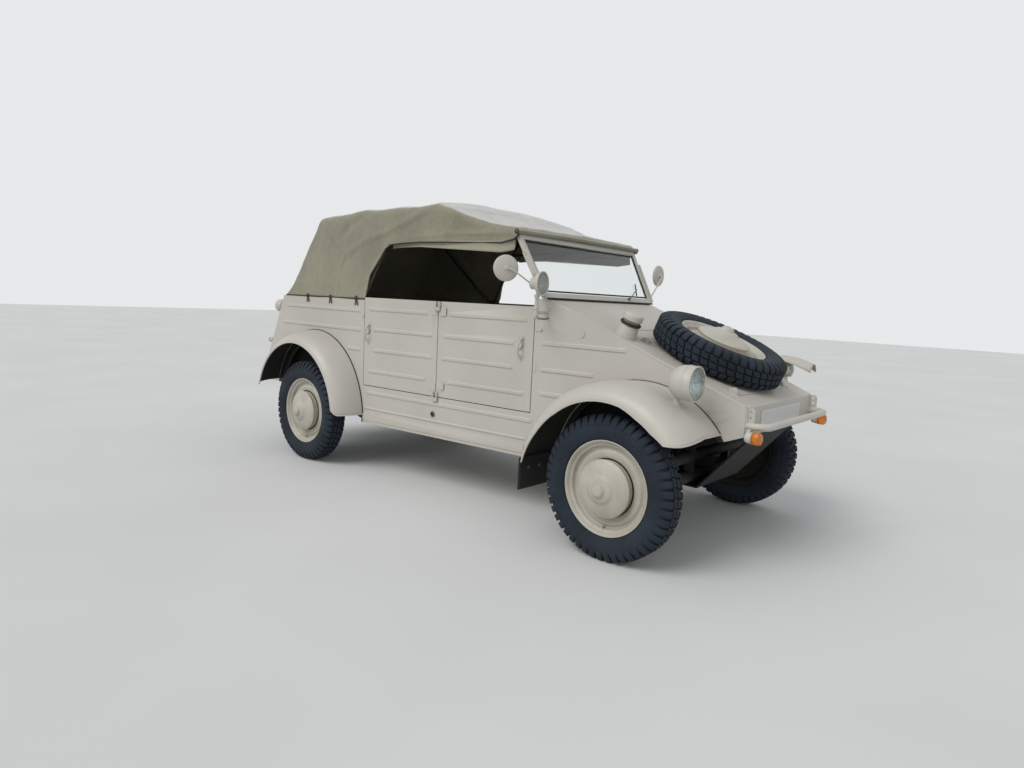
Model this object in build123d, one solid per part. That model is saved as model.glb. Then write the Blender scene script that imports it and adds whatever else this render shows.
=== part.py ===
from build123d import *
import os
from math import atan2, cos, degrees, radians, sin, sqrt

# Light open military car with its engine behind the rear axle, four doors and a raised canvas top.
# Millimetres. The car faces +X, its left side is +Y, and it stands on Z = 0.
# The origin is under the middle of the car's overall length and width.

# Chassis
WHEELBASE = 2400.0
AXLE_MID = 105.0           # middle of the wheelbase ahead of the origin
TRACK = 1356.0
WHEEL_RADIUS = 328.0       # to the tips of the tread lugs
TYRE_WIDTH = 140.0
TREAD_WIDTH = 112.0
SEAT_RADIUS = 203.0        # bead seat of the 16 inch rim
SEAT_HALF = 41.0
FLANGE_RISE = 17.0
HUBCAP_RADIUS = 135.0
HUBCAP_OUT = 57.0          # hubcap's edge, outboard of the wheel's middle plane
NUB_OUT = 118.0            # hubcap's tip, outboard of the wheel's middle plane
DRUM_RADIUS = 115.0
DRUM_DEPTH = 45.0          # drum's open face, inboard of the wheel's middle plane
STUB_RADIUS = 17.0
FIT = 0.3                  # clearance of a shaft or pin in its bore
KINGPIN_INSET = 78.0       # kingpin, inboard of the wheel's middle plane
KINGPIN_RADIUS = 14.0

AXLE_F = AXLE_MID + WHEELBASE / 2
AXLE_R = AXLE_MID - WHEELBASE / 2
WHEEL_Y = TRACK / 2
KINGPIN_Y = WHEEL_Y - KINGPIN_INSET

# Body in plan: half widths at the nose, at the rear edge of the rear doors and at the tail
NOSE_HALF = 409.0
MID_HALF = 615.0
TAIL_HALF = 595.0
WALL = 24.0                # body side and doors, skin to skin
PLATE = 10.0               # hood, tail, belly and partitions
DOOR_GAP = 5.0

# Body stations along X, each from the axle next to it
NOSE_AHEAD = 467.0
FIREWALL_BEHIND = 440.0
DOOR_BEHIND = 631.0        # front edge of the front door, behind the front axle
SCREEN_BEHIND = 560.0      # foot of the windscreen, behind the front axle
COWL_BEHIND = 419.0
DASH_BEHIND = 615.0
SCUTTLE_BEHIND = 250.0
QUARTER_AHEAD = 496.0      # rear edge of the rear door, ahead of the rear axle
TAIL_TOP_BEHIND = 480.0
TAIL_FOOT_BEHIND = 722.0
FRONT_DOOR_LENGTH = 659.0

NOSE_X = AXLE_F + NOSE_AHEAD
FIREWALL_X = AXLE_F - FIREWALL_BEHIND
DOOR_FRONT = AXLE_F - DOOR_BEHIND
SCREEN_X = AXLE_F - SCREEN_BEHIND
COWL_X = AXLE_F - COWL_BEHIND
DASH_X = AXLE_F - DASH_BEHIND
SCUTTLE_X = AXLE_F - SCUTTLE_BEHIND
DOOR_REAR = AXLE_R + QUARTER_AHEAD
DOOR_SPLIT = DOOR_FRONT - FRONT_DOOR_LENGTH
TAIL_TOP_X = AXLE_R - TAIL_TOP_BEHIND
TAIL_FOOT_X = AXLE_R - TAIL_FOOT_BEHIND

# Heights
FLOOR_Z = 283.0            # underside of the floor
FLOOR_THICK = 20.0
SILL_Z = 333.0
DOOR_BOTTOM = 554.0
DOOR_TOP = 1097.0
QUARTER_TOP = 1083.0
SCREEN_Z = 1139.0
COWL_Z = 1086.0
SCUTTLE_Z = 1013.0
NOSE_TOP = 721.0
NOSE_FOOT = 597.0
BELLY_Z = 483.0            # underside of the front box over the axle
TAIL_FOOT = 593.0
TAIL_SKIRT = 453.0
SHELF_Z = 823.0            # luggage shelf over the engine
DOOR_RIBS = (1027.0, 903.0, 776.0, 644.0)
QUARTER_RIBS = (1014.0, 894.0, 771.0)
FRONT_RIBS = (915.0, 781.0, 658.0)
RIB_TALL = 28.0
RIB_SLOPE = 7.0            # width of a rib's sloped sides
RIB_NOSE = 18.0            # length of its sloped ends
RIB_PROUD = 5.0

# Fenders, turned about a line across the car
FENDER_Y = 800.0
FENDER_THICK = 8.0
FRONT_LIP = 391.0
FRONT_ROOT = 452.0
FRONT_CROWN = 470.0
# Height of the front fender's front edge at distances from the middle, in from the lip
FRONT_CUT = ((FENDER_Y + 20, 576.0), (765, 584.0), (700, 592.0), (600, 601.0), (430, 595.0), (300, 591.0))
REAR_LIP = 450.0
REAR_ROOT = 538.0
REAR_SHIFT = -35.0         # middle of the rear fender, from the rear axle
FRONT_ARCH = 430.0         # arches cut in the body sides
REAR_ARCH = 475.0

# Windscreen and canvas top
SCREEN_HALF = 518.0
SCREEN_TOP_HALF = 549.0
SCREEN_LEAN = 177.0        # top of the windscreen, behind its foot
SCREEN_TOP_Z = 1457.0
SCREEN_FRAME = 30.0
GLASS = 6.0
CANVAS = 10.0
TOP_CLEAR = 0.3            # canvas over the body edges and bows
BOW_RADIUS = 9.0


# Spare wheel, lid, hatch and underbody
LID_BACK = 230.0           # rear edge of the luggage lid, behind the front axle
LID_AHEAD = 385.0          # its front edge, ahead of the axle
LID_HALF = 300.0
SPARE_AHEAD = 109.0        # foot of the spare wheel's middle on the hood, ahead of the axle
SPARE_REST = 6.0           # spare tyre over the lid
CARRIER_RADIUS = 60.0
CLAMP_BACK = 219.0
CLAMP_AHEAD = 241.0
CLAMP_RADIUS = 22.0
HATCH_HALF = 330.0
HATCH_FOOT = 623.0
HATCH_TOP = 803.0
LOUVRES = 11
LOUVRE_PITCH = 52.0
SKIRT_IN = 60.0
BELLY_AHEAD = 180.0
BELLY_BEHIND = 200.0
BOX_HALF = 340.0
BULKHEAD_AHEAD = 480.0     # bulkhead behind the rear seat, ahead of the rear axle
BAY_HALF = 480.0
SKID_AHEAD = 190.0
SKID_THICK = 8.0
SKID_HALF = 230.0
TUNNEL_HALF = 70.0
TUNNEL_TALL = 60.0
CHANNEL_IN = 330.0
CHANNEL_OUT = 400.0
DASH_FOOT = 943.0
POST_WIDTH = 60.0
POST_DEPTH = 45.0
POST_CLEAR = 8.0           # doors to the post behind them
POST_TOP = 1083.0
SILL_RIB_Z = 508.0
SILL_STEP_Z = 408.0
LEDGE_TOP = 376.0
LEDGE_PROUD = 4.0
RIB_END = 25.0
FRONT_RIB_END = 45.0
HINGE_SPREAD = 14.0
HINGE_RADIUS = 6.0
HINGE_TALL = 26.0
HINGE_RISE = 10.0          # lid hinges' axis over the outer face
PIN_RADIUS = 3.5
HANDLE_Z = 892.0
HANDLE_RADIUS = 5.0
SCOOP_WIDE = 25.0
SCOOP_TALL = 48.0
SCOOP_DEEP = 7.0
HINGE_PLATE = 48.0

LID_REAR = AXLE_F - LID_BACK
LID_FRONT = AXLE_F + LID_AHEAD
SPARE_X = AXLE_F + SPARE_AHEAD
BULKHEAD_X = AXLE_R + BULKHEAD_AHEAD
SLOPE = atan2(SCUTTLE_Z - NOSE_TOP, NOSE_X - SCUTTLE_X)

# Wheels and axles
FLANGE_LEAN = 7.0
DISC_BACK = 5.0
STUB_OUT = 30.0
BELLY_RADIUS = 285.0
BOSS_RADIUS = 24.0
BOSS_TALL = 110.0
STEERING_ARM = 120.0
TORSION_AHEAD = 130.0
TORSION_HALF = 474.0
TORSION_RADIUS = 28.0
ARM_RADIUS = 13.0
ARM_APART = 85.0
PORTAL = 90.0              # reduction gear: swing tubes over the rear hubs

# Lamps, bumpers, flaps, seats and steering
LAMP_X = AXLE_F + 329.0
LAMP_DEEP = 123.0
DRIVING_X = AXLE_F + 281.0
LAMP_Y = 600.0
LAMP_Z = 819.0
LAMP_FOOT = 683.0
BUMPER_X = NOSE_X + 83.0
BUMPER_HALF = 392.0
BUMPER_Z = 646.0
BUMPER_RADIUS = 16.0
BUMPER_HOLE = 11.0
TAIL_BUMPER_X = TAIL_FOOT_X - 38.0
REAR_BUMPER_Z = 543.0
STUB_Z = 743.0
TAIL_STUB = 110.0
POD_Z = 1003.0
FLAP_X = -448.0
FLAP_FOOT = 233.0
SEAT_IN = 85.0
SEAT_OUT = 480.0
FRONT_SEAT_X = 60.0
SEAT_DEPTH = 470.0
SEAT_BACK_Z = 1013.0
SEAT_LEAN = 90.0
BACK_THICK = 75.0
CUSHION_Z = 503.0
COLUMN_FOOT = (FIREWALL_X - PLATE, 282.0, 683.0)
WHEEL_HUB = (FIREWALL_X - 480.0, 282.0, 968.0)
COLUMN_GAP = 20.3
STEERING_RADIUS = 190.0

# Windscreen and top
SCREEN_DEEP = 22.0
REAR_CORNER_X = AXLE_R - 95.0
REAR_CORNER_Z = 1595.0
SHOULDER_BEVEL = 45.0
TOP_PROUD = 2.0
WINDOW_CORNER_X = DOOR_REAR + 165.0
WINDOW_TOP = 1429.0


def prism_y(points, y0, y1):
    """Solid with the outline of (x, z) points, from y0 to y1."""
    outline = make_face(Polyline(*[(x, y0, z) for x, z in points], close=True))
    return extrude(outline, amount=y1 - y0, dir=(0, 1, 0))


def prism_z(points, z0, z1):
    """Solid with the outline of (x, y) points, from z0 to z1."""
    outline = make_face(Polyline(*[(x, y, z0) for x, y in points], close=True))
    return extrude(outline, amount=z1 - z0, dir=(0, 0, 1))


def box(x0, x1, y0, y1, z0, z1):
    """Block between two corners."""
    return prism_z([(x0, y0), (x1, y0), (x1, y1), (x0, y1)], z0, z1)


def fused(solids):
    """One part from several solids, joined where they touch."""
    return Part() + solids


def rod(start, end, radius):
    """Round bar from start to end."""
    a, b = Vector(*start), Vector(*end)
    return Plane(a, z_dir=(b - a).normalized()) * Cylinder(
        radius, (b - a).length, align=(Align.CENTER, Align.CENTER, Align.MIN))


def turned(points, centre, outboard):
    """Ring or disc about a line across the car, from (outboard distance, radius) points."""
    x, y, z = centre
    outline = make_face(Polyline(*[(x, y + outboard * d, z + r) for d, r in points], close=True))
    return revolve(outline, Axis((x, 0, z), (0, 1, 0)))


def mirrored(solid):
    """The same piece on the other side of the car."""
    return mirror(solid, about=Plane.XZ)


def half_width(x):
    """Half of the body's width at a station, straight from tail to door edge and on to the nose."""
    if x < DOOR_REAR:
        return TAIL_HALF + (MID_HALF - TAIL_HALF) * (x - TAIL_FOOT_X) / (DOOR_REAR - TAIL_FOOT_X)
    return MID_HALF + (NOSE_HALF - MID_HALF) * (x - DOOR_REAR) / (NOSE_X - DOOR_REAR)


def body_plan(inset, z0=200.0, z1=1800.0):
    """Block inside the body's tapered sides, drawn in by inset."""
    reach = 200.0
    stations = (TAIL_FOOT_X - reach, DOOR_REAR, NOSE_X + reach)
    right = [(x, -half_width(x) + inset) for x in stations]
    left = [(x, half_width(x) - inset) for x in reversed(stations)]
    return prism_z(right + left, z0, z1)


def skin(points, outer, inner):
    """The stretch of the right body side inside an (x, z) outline, between two insets."""
    return prism_y(points, -1000, 0) & (body_plan(outer) - body_plan(inner))


def side_plane(x0, x1, z):
    """Plane on the right body side between two stations, with X along the car and Z outwards."""
    a, b = Vector(x0, -half_width(x0), z), Vector(x1, -half_width(x1), z)
    along = (b - a).normalized()
    return Plane((a + b) / 2, x_dir=along, z_dir=(along.Y, -along.X, 0))


def ribs(spans, tall=RIB_TALL):
    """Pressed ribs on the right side, sloped on all sides; spans are (x from, x to, height)."""
    solids = []
    for x0, x1, z in spans:
        plane = side_plane(x0, x1, z)
        foot = plane.offset(-2) * Rectangle(x1 - x0, tall)
        crest = plane.offset(RIB_PROUD) * Rectangle(x1 - x0 - 2 * RIB_NOSE, tall - 2 * RIB_SLOPE)
        solids.append(loft([foot, crest]))
    return solids


def plate_on_side(x0, x1, z0, z1, proud):
    """Flat plate standing a little proud of the right body side."""
    return skin([(x0, z0), (x1, z0), (x1, z1), (x0, z1)], -proud, 2)


# Outlines in the side view
HOOD_LINE = [(DASH_X, SCREEN_Z), (SCREEN_X, SCREEN_Z), (COWL_X, COWL_Z),
             (SCUTTLE_X, SCUTTLE_Z), (NOSE_X, NOSE_TOP)]
TAIL_LINE = [(TAIL_TOP_X, QUARTER_TOP), (TAIL_FOOT_X, TAIL_FOOT),
             (TAIL_FOOT_X + SKIRT_IN, TAIL_SKIRT)]
BELLY_LINE = [(NOSE_X - PLATE, NOSE_FOOT), (AXLE_F + BELLY_AHEAD, BELLY_Z),
              (AXLE_F - BELLY_BEHIND, BELLY_Z), (FIREWALL_X, BELLY_Z)]
REAR_MID = AXLE_R + REAR_SHIFT


def height_on(line, x):
    """Height at station x of an (x, z) line that runs forward."""
    for (x0, z0), (x1, z1) in zip(line, line[1:]):
        if x <= x1:
            return z0 + (z1 - z0) * (x - x0) / (x1 - x0)
    return line[-1][1]


def hood_z(x):
    """Height of the hood at a station."""
    return height_on(HOOD_LINE, x)


def tail_x(z):
    """Station of the tail's outer face at a height above its foot."""
    share = (QUARTER_TOP - z) / (QUARTER_TOP - TAIL_FOOT)
    return TAIL_TOP_X + (TAIL_FOOT_X - TAIL_TOP_X) * share


def lowered(line, drop):
    """The same line, moved down."""
    return [(x, z - drop) for x, z in line]


def shifted(line, ahead):
    """The same line, moved forward."""
    return [(x + ahead, z) for x, z in line]


def arch(centre_x, radius):
    """Round cut through both body sides for a wheel."""
    return Location((centre_x, 0, WHEEL_RADIUS), (90, 0, 0)) * Cylinder(radius, 3000)


def side_right():
    """Quarter panel, sill, centre post and front panel of the right side."""
    hood_under = lowered(HOOD_LINE, PLATE)
    outline = ([(DOOR_REAR - DOOR_GAP, QUARTER_TOP), (DOOR_REAR - DOOR_GAP, DOOR_BOTTOM - DOOR_GAP),
                (DOOR_FRONT + DOOR_GAP, DOOR_BOTTOM - DOOR_GAP), (DOOR_FRONT + DOOR_GAP, DOOR_TOP)]
               + hood_under
               + [(NOSE_X, NOSE_FOOT), (AXLE_F + BELLY_AHEAD, BELLY_Z),
                  (AXLE_F - BELLY_BEHIND, BELLY_Z), (FIREWALL_X, SILL_Z),
                  (REAR_MID + REAR_ARCH + 60, SILL_Z), (REAR_MID, TAIL_SKIRT)]
               + TAIL_LINE[::-1])
    wall = skin(outline, 0, WALL) - arch(AXLE_F, FRONT_ARCH) - arch(REAR_MID, REAR_ARCH)
    low, high = DOOR_SPLIT - POST_WIDTH / 2, DOOR_SPLIT + POST_WIDTH / 2
    inner = WALL + POST_DEPTH
    sill_top = DOOR_BOTTOM - DOOR_GAP
    post = skin([(low, SILL_Z), (high, SILL_Z), (high, POST_TOP), (low, POST_TOP)],
                WALL + POST_CLEAR, inner)
    pad = skin([(low, SILL_Z), (high, SILL_Z), (high, sill_top), (low, sill_top)], WALL, inner)
    ends = RIB_END + DOOR_GAP
    ahead = DOOR_FRONT + FRONT_RIB_END
    # Each rib: rear end, front end, height
    spans = [(TAIL_TOP_X + 40, DOOR_REAR - ends, QUARTER_RIBS[0]),
             (TAIL_TOP_X - 20, DOOR_REAR - ends, QUARTER_RIBS[1]),
             (DOOR_REAR - 190, DOOR_REAR - ends, QUARTER_RIBS[2]),
             (ahead, AXLE_F - 95, FRONT_RIBS[0]),
             (ahead, AXLE_F - 260, FRONT_RIBS[1]),
             (ahead, AXLE_F - 400, FRONT_RIBS[2]),
             (DOOR_REAR + RIB_END, DOOR_FRONT + RIB_END, SILL_RIB_Z)]
    step = ribs([(DOOR_REAR + 4, DOOR_FRONT - DOOR_GAP, SILL_STEP_Z)], RIB_TALL * 0.7)
    ledge = plate_on_side(DOOR_REAR + 4, DOOR_FRONT - RIB_END, SILL_Z, LEDGE_TOP, LEDGE_PROUD)
    pieces = [wall, post, pad, ledge] + ribs(spans) + step + side_fittings()
    return fused(pieces + hinge_knuckles())


def side_fittings():
    """Latch plates and embossed discs of the right side."""
    x = DOOR_FRONT + DOOR_GAP
    solids = [plate_on_side(x + 3, x + 34, DOOR_RIBS[0] - 54, DOOR_RIBS[0] - 34, 3),
              plate_on_side(x + 3, x + 20, DOOR_RIBS[2] - 10, DOOR_RIBS[2] + 40, 2)]
    # Discs: station, height, radius, rise
    for disc_x, z, radius, rise in ((x + 40, DOOR_RIBS[0] - 44, 7, 8), (AXLE_F - 352, DOOR_RIBS[0] - 48, 21, 2.5),
                                    (DOOR_REAR - 14, DOOR_RIBS[0] - 44, 8, 7)):
        y = -half_width(disc_x)
        solids.append(rod((disc_x, y + 2, z), (disc_x, y - rise, z), radius))
    return solids


def hinge_line(side):
    """Hinge line of a right door: side is 1 ahead of the split and -1 behind it."""
    x = DOOR_SPLIT + side * HINGE_SPREAD
    return x, -half_width(x) - HINGE_RADIUS - 3


def hinge_knuckles():
    """Fixed knuckles of the right doors, on the sill and on a leaf from the centre post."""
    solids = []
    y = -half_width(DOOR_SPLIT)
    low = DOOR_BOTTOM - HINGE_TALL
    high = DOOR_TOP - 2 * HINGE_TALL
    for side in (-1, 1):
        hx, hy = hinge_line(side)
        for z in (low, high):
            solids.append(rod((hx, hy, z), (hx, hy, z + HINGE_TALL - FIT), HINGE_RADIUS))
            solids.append(rod((hx, hy, z + 2), (hx, hy, z + 2 * HINGE_TALL - 6), PIN_RADIUS))
    spread = HINGE_SPREAD
    solids.append(box(DOOR_SPLIT - spread, DOOR_SPLIT + spread, y - 13, y + 4, low, low + HINGE_TALL - 6))
    solids.append(box(DOOR_SPLIT - spread, DOOR_SPLIT + spread, y - 13, y - 6, high, high + HINGE_TALL - 6))
    solids.append(box(DOOR_SPLIT - 1.2, DOOR_SPLIT + 1.2, y - 10, y + WALL + POST_CLEAR + 4, high,
                      high + HINGE_TALL - 6))
    return solids


def door_ribs(x0, x1, side, latch_in):
    """Door ribs: the outer two clear the hinge plates, and the inner two clear the handle."""
    solids = []
    for row, z in enumerate(DOOR_RIBS):
        outer = row in (0, len(DOOR_RIBS) - 1)
        hinge_in = HINGE_PLATE + 22 if outer else RIB_END
        free_in = RIB_END + 8 if outer else latch_in
        ends = (x0 + hinge_in, x1 - free_in) if side > 0 else (x0 + free_in, x1 - hinge_in)
        solids += ribs([(*ends, z)])
    return solids


def handle(x, z):
    """Curved lever handle standing off a right door, with its boss and the knob at its lower end."""
    y = -half_width(x)
    bar = ThreePointArc((x, y + 2, z + 44), (x, y - 30, z - 2), (x - 4, y - 16, z - 56))
    lever = sweep(Plane(bar @ 0, z_dir=bar % 0) * Circle(HANDLE_RADIUS), path=bar)
    knob = Location(bar @ 1) * Sphere(HANDLE_RADIUS + 3.5)
    boss = rod((x, y + 2, z + 42), (x, y - 6, z + 42), 11)
    return [lever, knob, boss]


def scoop(x, z):
    """Lens-shaped hollow behind a handle, a disc's rim turned about a line along the car."""
    y = -half_width(x)
    arc = ThreePointArc((x - SCOOP_WIDE, y, z), (x, y + SCOOP_DEEP, z), (x + SCOOP_WIDE, y, z))
    lens = make_face(Wire([arc, Line(arc @ 1, arc @ 0)]))
    reach = (SCOOP_TALL ** 2 + SCOOP_DEEP ** 2) / (2 * SCOOP_DEEP) - SCOOP_DEEP
    return revolve(lens, Axis((x, y - reach, z), (1, 0, 0)))


def door_right(x0, x1, side, handle_x, latch_in):
    """Right door between two stations, with its ribs, hinge plates and knuckles, and lever handle."""
    panel = skin([(x0, DOOR_BOTTOM), (x1, DOOR_BOTTOM), (x1, DOOR_TOP), (x0, DOOR_TOP)], 0, WALL)
    panel -= scoop(handle_x, HANDLE_Z)
    solids = [panel] + door_ribs(x0, x1, side, latch_in) + handle(handle_x, HANDLE_Z)
    edge = x0 if side > 0 else x1
    plate_x = sorted((edge + side * 4, edge + side * HINGE_PLATE))
    for z in (DOOR_BOTTOM + 32, DOOR_TOP - 32 - HINGE_PLATE):
        solids.append(plate_on_side(*plate_x, z, z + HINGE_PLATE, 2))
    hx, hy = hinge_line(side)
    for z in (DOOR_BOTTOM, DOOR_TOP - HINGE_TALL):
        solids.append(rod((hx, hy, z), (hx, hy, z + HINGE_TALL), HINGE_RADIUS))
        solids.append(box(hx - 5, hx + 5, hy, hy + HINGE_RADIUS + 6, z, z + HINGE_TALL))
    bores = [rod((hx, hy, z - 5), (hx, hy, z + HINGE_TALL - 5), PIN_RADIUS + FIT)
             for z in (DOOR_BOTTOM, DOOR_TOP - HINGE_TALL)]
    return fused(solids) - bores


def floor_pan():
    """Floor with its tunnel and two channels under it."""
    w = MID_HALF
    top, low = SILL_Z, SILL_Z - FLOOR_THICK
    half = [(w, low), (w, top), (TUNNEL_HALF, top), (TUNNEL_HALF, top + TUNNEL_TALL)]
    hollow, roof = TUNNEL_HALF - PLATE, top + TUNNEL_TALL - PLATE
    under = [(-hollow, roof), (-hollow, low), (-CHANNEL_IN, low), (-CHANNEL_IN, FLOOR_Z),
             (-CHANNEL_OUT, FLOOR_Z), (-CHANNEL_OUT, low)]
    right_under = [(-y, z) for y, z in reversed(under)]
    left = [(-y, z) for y, z in reversed(half)]
    x0, x1 = BULKHEAD_X, FIREWALL_X
    points = half + left + under[::-1] + right_under[::-1]
    outline = make_face(Polyline(*[(x0, y, z) for y, z in points], close=True))
    return extrude(outline, amount=x1 - x0, dir=(1, 0, 0)) & body_plan(FIT)


def front_box():
    """Firewall and the luggage box under the hood, open at the top."""
    firewall = box(FIREWALL_X - PLATE, FIREWALL_X, -1000, 1000, SILL_Z, 1300) & body_plan(WALL)
    rim = lowered([p for p in HOOD_LINE if p[0] > FIREWALL_X], PLATE)
    rim = [(FIREWALL_X, hood_z(FIREWALL_X) - PLATE)] + rim
    rim[-1] = (NOSE_X - PLATE, hood_z(NOSE_X - PLATE) - PLATE)
    outer = prism_y(rim + BELLY_LINE, -BOX_HALF, BOX_HALF)
    high = [(NOSE_X - PLATE - 1, 1300), (FIREWALL_X - 1, 1300)]
    hollow_floor = [(FIREWALL_X - 1, BELLY_Z + PLATE), (AXLE_F - BELLY_BEHIND, BELLY_Z + PLATE),
                    (AXLE_F + BELLY_AHEAD, BELLY_Z + PLATE), (NOSE_X - PLATE - 1, NOSE_FOOT + PLATE)]
    inner = prism_y(high + hollow_floor, PLATE - BOX_HALF, BOX_HALF - PLATE)
    return fused([firewall - hood_block(), outer - inner]) - floor_pan()


def hood_block():
    """Everything above the underside of the hood."""
    line = lowered(HOOD_LINE, PLATE)
    return prism_y([(DASH_X - 300, line[0][1])] + line + [(NOSE_X, 2000), (DASH_X - 300, 2000)],
                   -1000, 1000)


def nose_panel():
    """Front face between the body sides."""
    return (box(NOSE_X - PLATE, NOSE_X, -1000, 1000, NOSE_FOOT, NOSE_TOP)
            & body_plan(WALL)) - hood_block()


def skid_plate():
    """Plate under the nose and the front axle, from the nose's foot to the floor."""
    line = [(FIREWALL_X, FLOOR_Z), (AXLE_F + SKID_AHEAD, FLOOR_Z), (NOSE_X - PLATE, NOSE_FOOT)]
    raised = [(FIREWALL_X, FLOOR_Z + SKID_THICK), (AXLE_F + SKID_AHEAD - 6, FLOOR_Z + SKID_THICK),
              (NOSE_X - PLATE - 12, NOSE_FOOT)]
    above = prism_y(BELLY_LINE + [(FIREWALL_X, 1300), (NOSE_X - PLATE, 1300)], -1000, 1000)
    return prism_y(line + raised[::-1], -SKID_HALF, SKID_HALF) - above


def hinge_pair(spot, outward, turn, y0):
    """Fixed and moving knuckles of a lid's two hinges; spot is the middle of the gap at the lid's edge."""
    out = Vector(outward[0], 0, outward[1])
    toward_lid = Vector(outward[1], 0, -outward[0]) * turn
    axis = hinge_axis(spot, outward)
    y1, y2 = y0 + HINGE_TALL, y0 + 2 * HINGE_TALL
    knuckles = []
    for side, low, high in ((-1, y0, y1 - FIT), (1, y1, y2)):
        run = toward_lid * side
        deep = HINGE_RISE + 3
        leaf = [axis, axis + run * 22 - out * (HINGE_RISE - 3), axis + run * 22 - out * deep,
                axis + run * 4 - out * deep]
        barrel = rod((axis.X, low, axis.Z), (axis.X, high, axis.Z), HINGE_RADIUS)
        knuckles.append(fused([barrel, prism_y([(point.X, point.Z) for point in leaf], low, high)]))
    pin = rod((axis.X, y0 + 2, axis.Z), (axis.X, y2 - 6, axis.Z), PIN_RADIUS)
    bore = rod((axis.X, y0, axis.Z), (axis.X, y2 - 5, axis.Z), PIN_RADIUS + FIT)
    fixed, moving = fused([knuckles[0], pin]), knuckles[1] - bore
    return [fixed, mirrored(fixed)], [moving, mirrored(moving)]


def hinge_axis(spot, outward):
    """Point on a lid's hinge axis, raised off the outer face."""
    return Vector(spot[0], 0, spot[1]) + Vector(outward[0], 0, outward[1]) * HINGE_RISE


def lid_hinge():
    """Middle of the gap behind the luggage lid, the hood's outward direction and the lid's side."""
    x = LID_REAR + DOOR_GAP / 2
    return (x, hood_z(x)), (sin(SLOPE), cos(SLOPE)), 1


def hatch_hinge():
    """Middle of the gap over the engine lid, the tail's outward direction and the lid's side."""
    z = HATCH_TOP - DOOR_GAP / 2
    lean = atan2(TAIL_TOP_X - TAIL_FOOT_X, QUARTER_TOP - TAIL_FOOT)
    return (tail_x(z), z), (-cos(lean), sin(lean)), -1


def hood():
    """Hood skin with the cowl, the opening of the luggage lid and its fixed hinge knuckles."""
    sheet = prism_y(HOOD_LINE + lowered(HOOD_LINE, PLATE)[::-1], -1000, 1000) & body_plan(0)
    opening = box(LID_REAR, LID_FRONT, -LID_HALF, LID_HALF, 600, 1300)
    return fused([sheet - opening] + hinge_pair(*lid_hinge(), LID_HALF - 2 * HINGE_TALL - 40)[0])


def lid():
    """Luggage lid with the spare wheel's carrier and two clamps on each side."""
    x0, x1 = LID_REAR + DOOR_GAP, LID_FRONT - DOOR_GAP
    half = LID_HALF - DOOR_GAP
    top = [(x0, hood_z(x0)), (x1, hood_z(x1))]
    solids = [prism_y(top + lowered(top, PLATE)[::-1], -half, half)]
    carrier = Cylinder(CARRIER_RADIUS, SPARE_REST + TYRE_WIDTH / 2 + DISC_BACK + PLATE / 2,
                       align=(Align.CENTER, Align.CENTER, Align.MIN))
    solids.append(spare_place(-PLATE / 2) * carrier)
    solids += hinge_pair(*lid_hinge(), LID_HALF - 2 * HINGE_TALL - 40)[1]
    for x in (SPARE_X - CLAMP_BACK, SPARE_X + CLAMP_AHEAD):
        for side in (-1, 1):
            clamp = Location((x, side * (half - 14), hood_z(x) - 2), (90, 0, 0)) * Cylinder(CLAMP_RADIUS, 24)
            solids.append(clamp - prism_y([(x - 50, hood_z(x - 50) - 5), (x + 50, hood_z(x + 50) - 5),
                                           (x + 50, 500), (x - 50, 500)], -1000, 1000))
    return fused(solids)


def spare_place(height):
    """Place at a height over the hood under the spare wheel, with Z square to the hood."""
    x = SPARE_X + height * sin(SLOPE)
    z = hood_z(SPARE_X) + height * cos(SLOPE)
    return Location((x, 0, z), (0, degrees(SLOPE), 0))


def dashboard():
    """Panel under the cowl's rear edge."""
    return box(DASH_X, DASH_X + PLATE, -1000, 1000, DASH_FOOT, SCREEN_Z - PLATE) & body_plan(WALL)


def tail_panel():
    """Sloping tail between the body sides, with the engine lid's opening."""
    sheet = prism_y(TAIL_LINE + shifted(TAIL_LINE, PLATE)[::-1], -1000, 1000) & body_plan(WALL)
    opening = box(TAIL_FOOT_X - 100, TAIL_TOP_X + 100, -HATCH_HALF, HATCH_HALF, HATCH_FOOT, HATCH_TOP)
    return fused([sheet - opening] + hinge_pair(*hatch_hinge(), HATCH_HALF - 2 * HINGE_TALL - 40)[0])


def engine_lid():
    """Engine lid, flush with the tail, with pressed louvres."""
    low, high = HATCH_FOOT + DOOR_GAP, HATCH_TOP - DOOR_GAP
    half = HATCH_HALF - DOOR_GAP
    line = [(tail_x(high), high), (tail_x(low), low)]
    solids = [prism_y(line + shifted(line, PLATE)[::-1], -half, half)]
    louvre_low, louvre_high = low + 40, high - 40
    face = [(tail_x(louvre_high), louvre_high), (tail_x(louvre_low), louvre_low)]
    for i in range(LOUVRES):
        y = (i - (LOUVRES - 1) / 2) * LOUVRE_PITCH
        solids.append(prism_y(shifted(face, -6) + shifted(face, 2)[::-1], y - 8, y + 8))
    solids += hinge_pair(*hatch_hinge(), HATCH_HALF - 2 * HINGE_TALL - 40)[1]
    return fused(solids)


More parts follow.
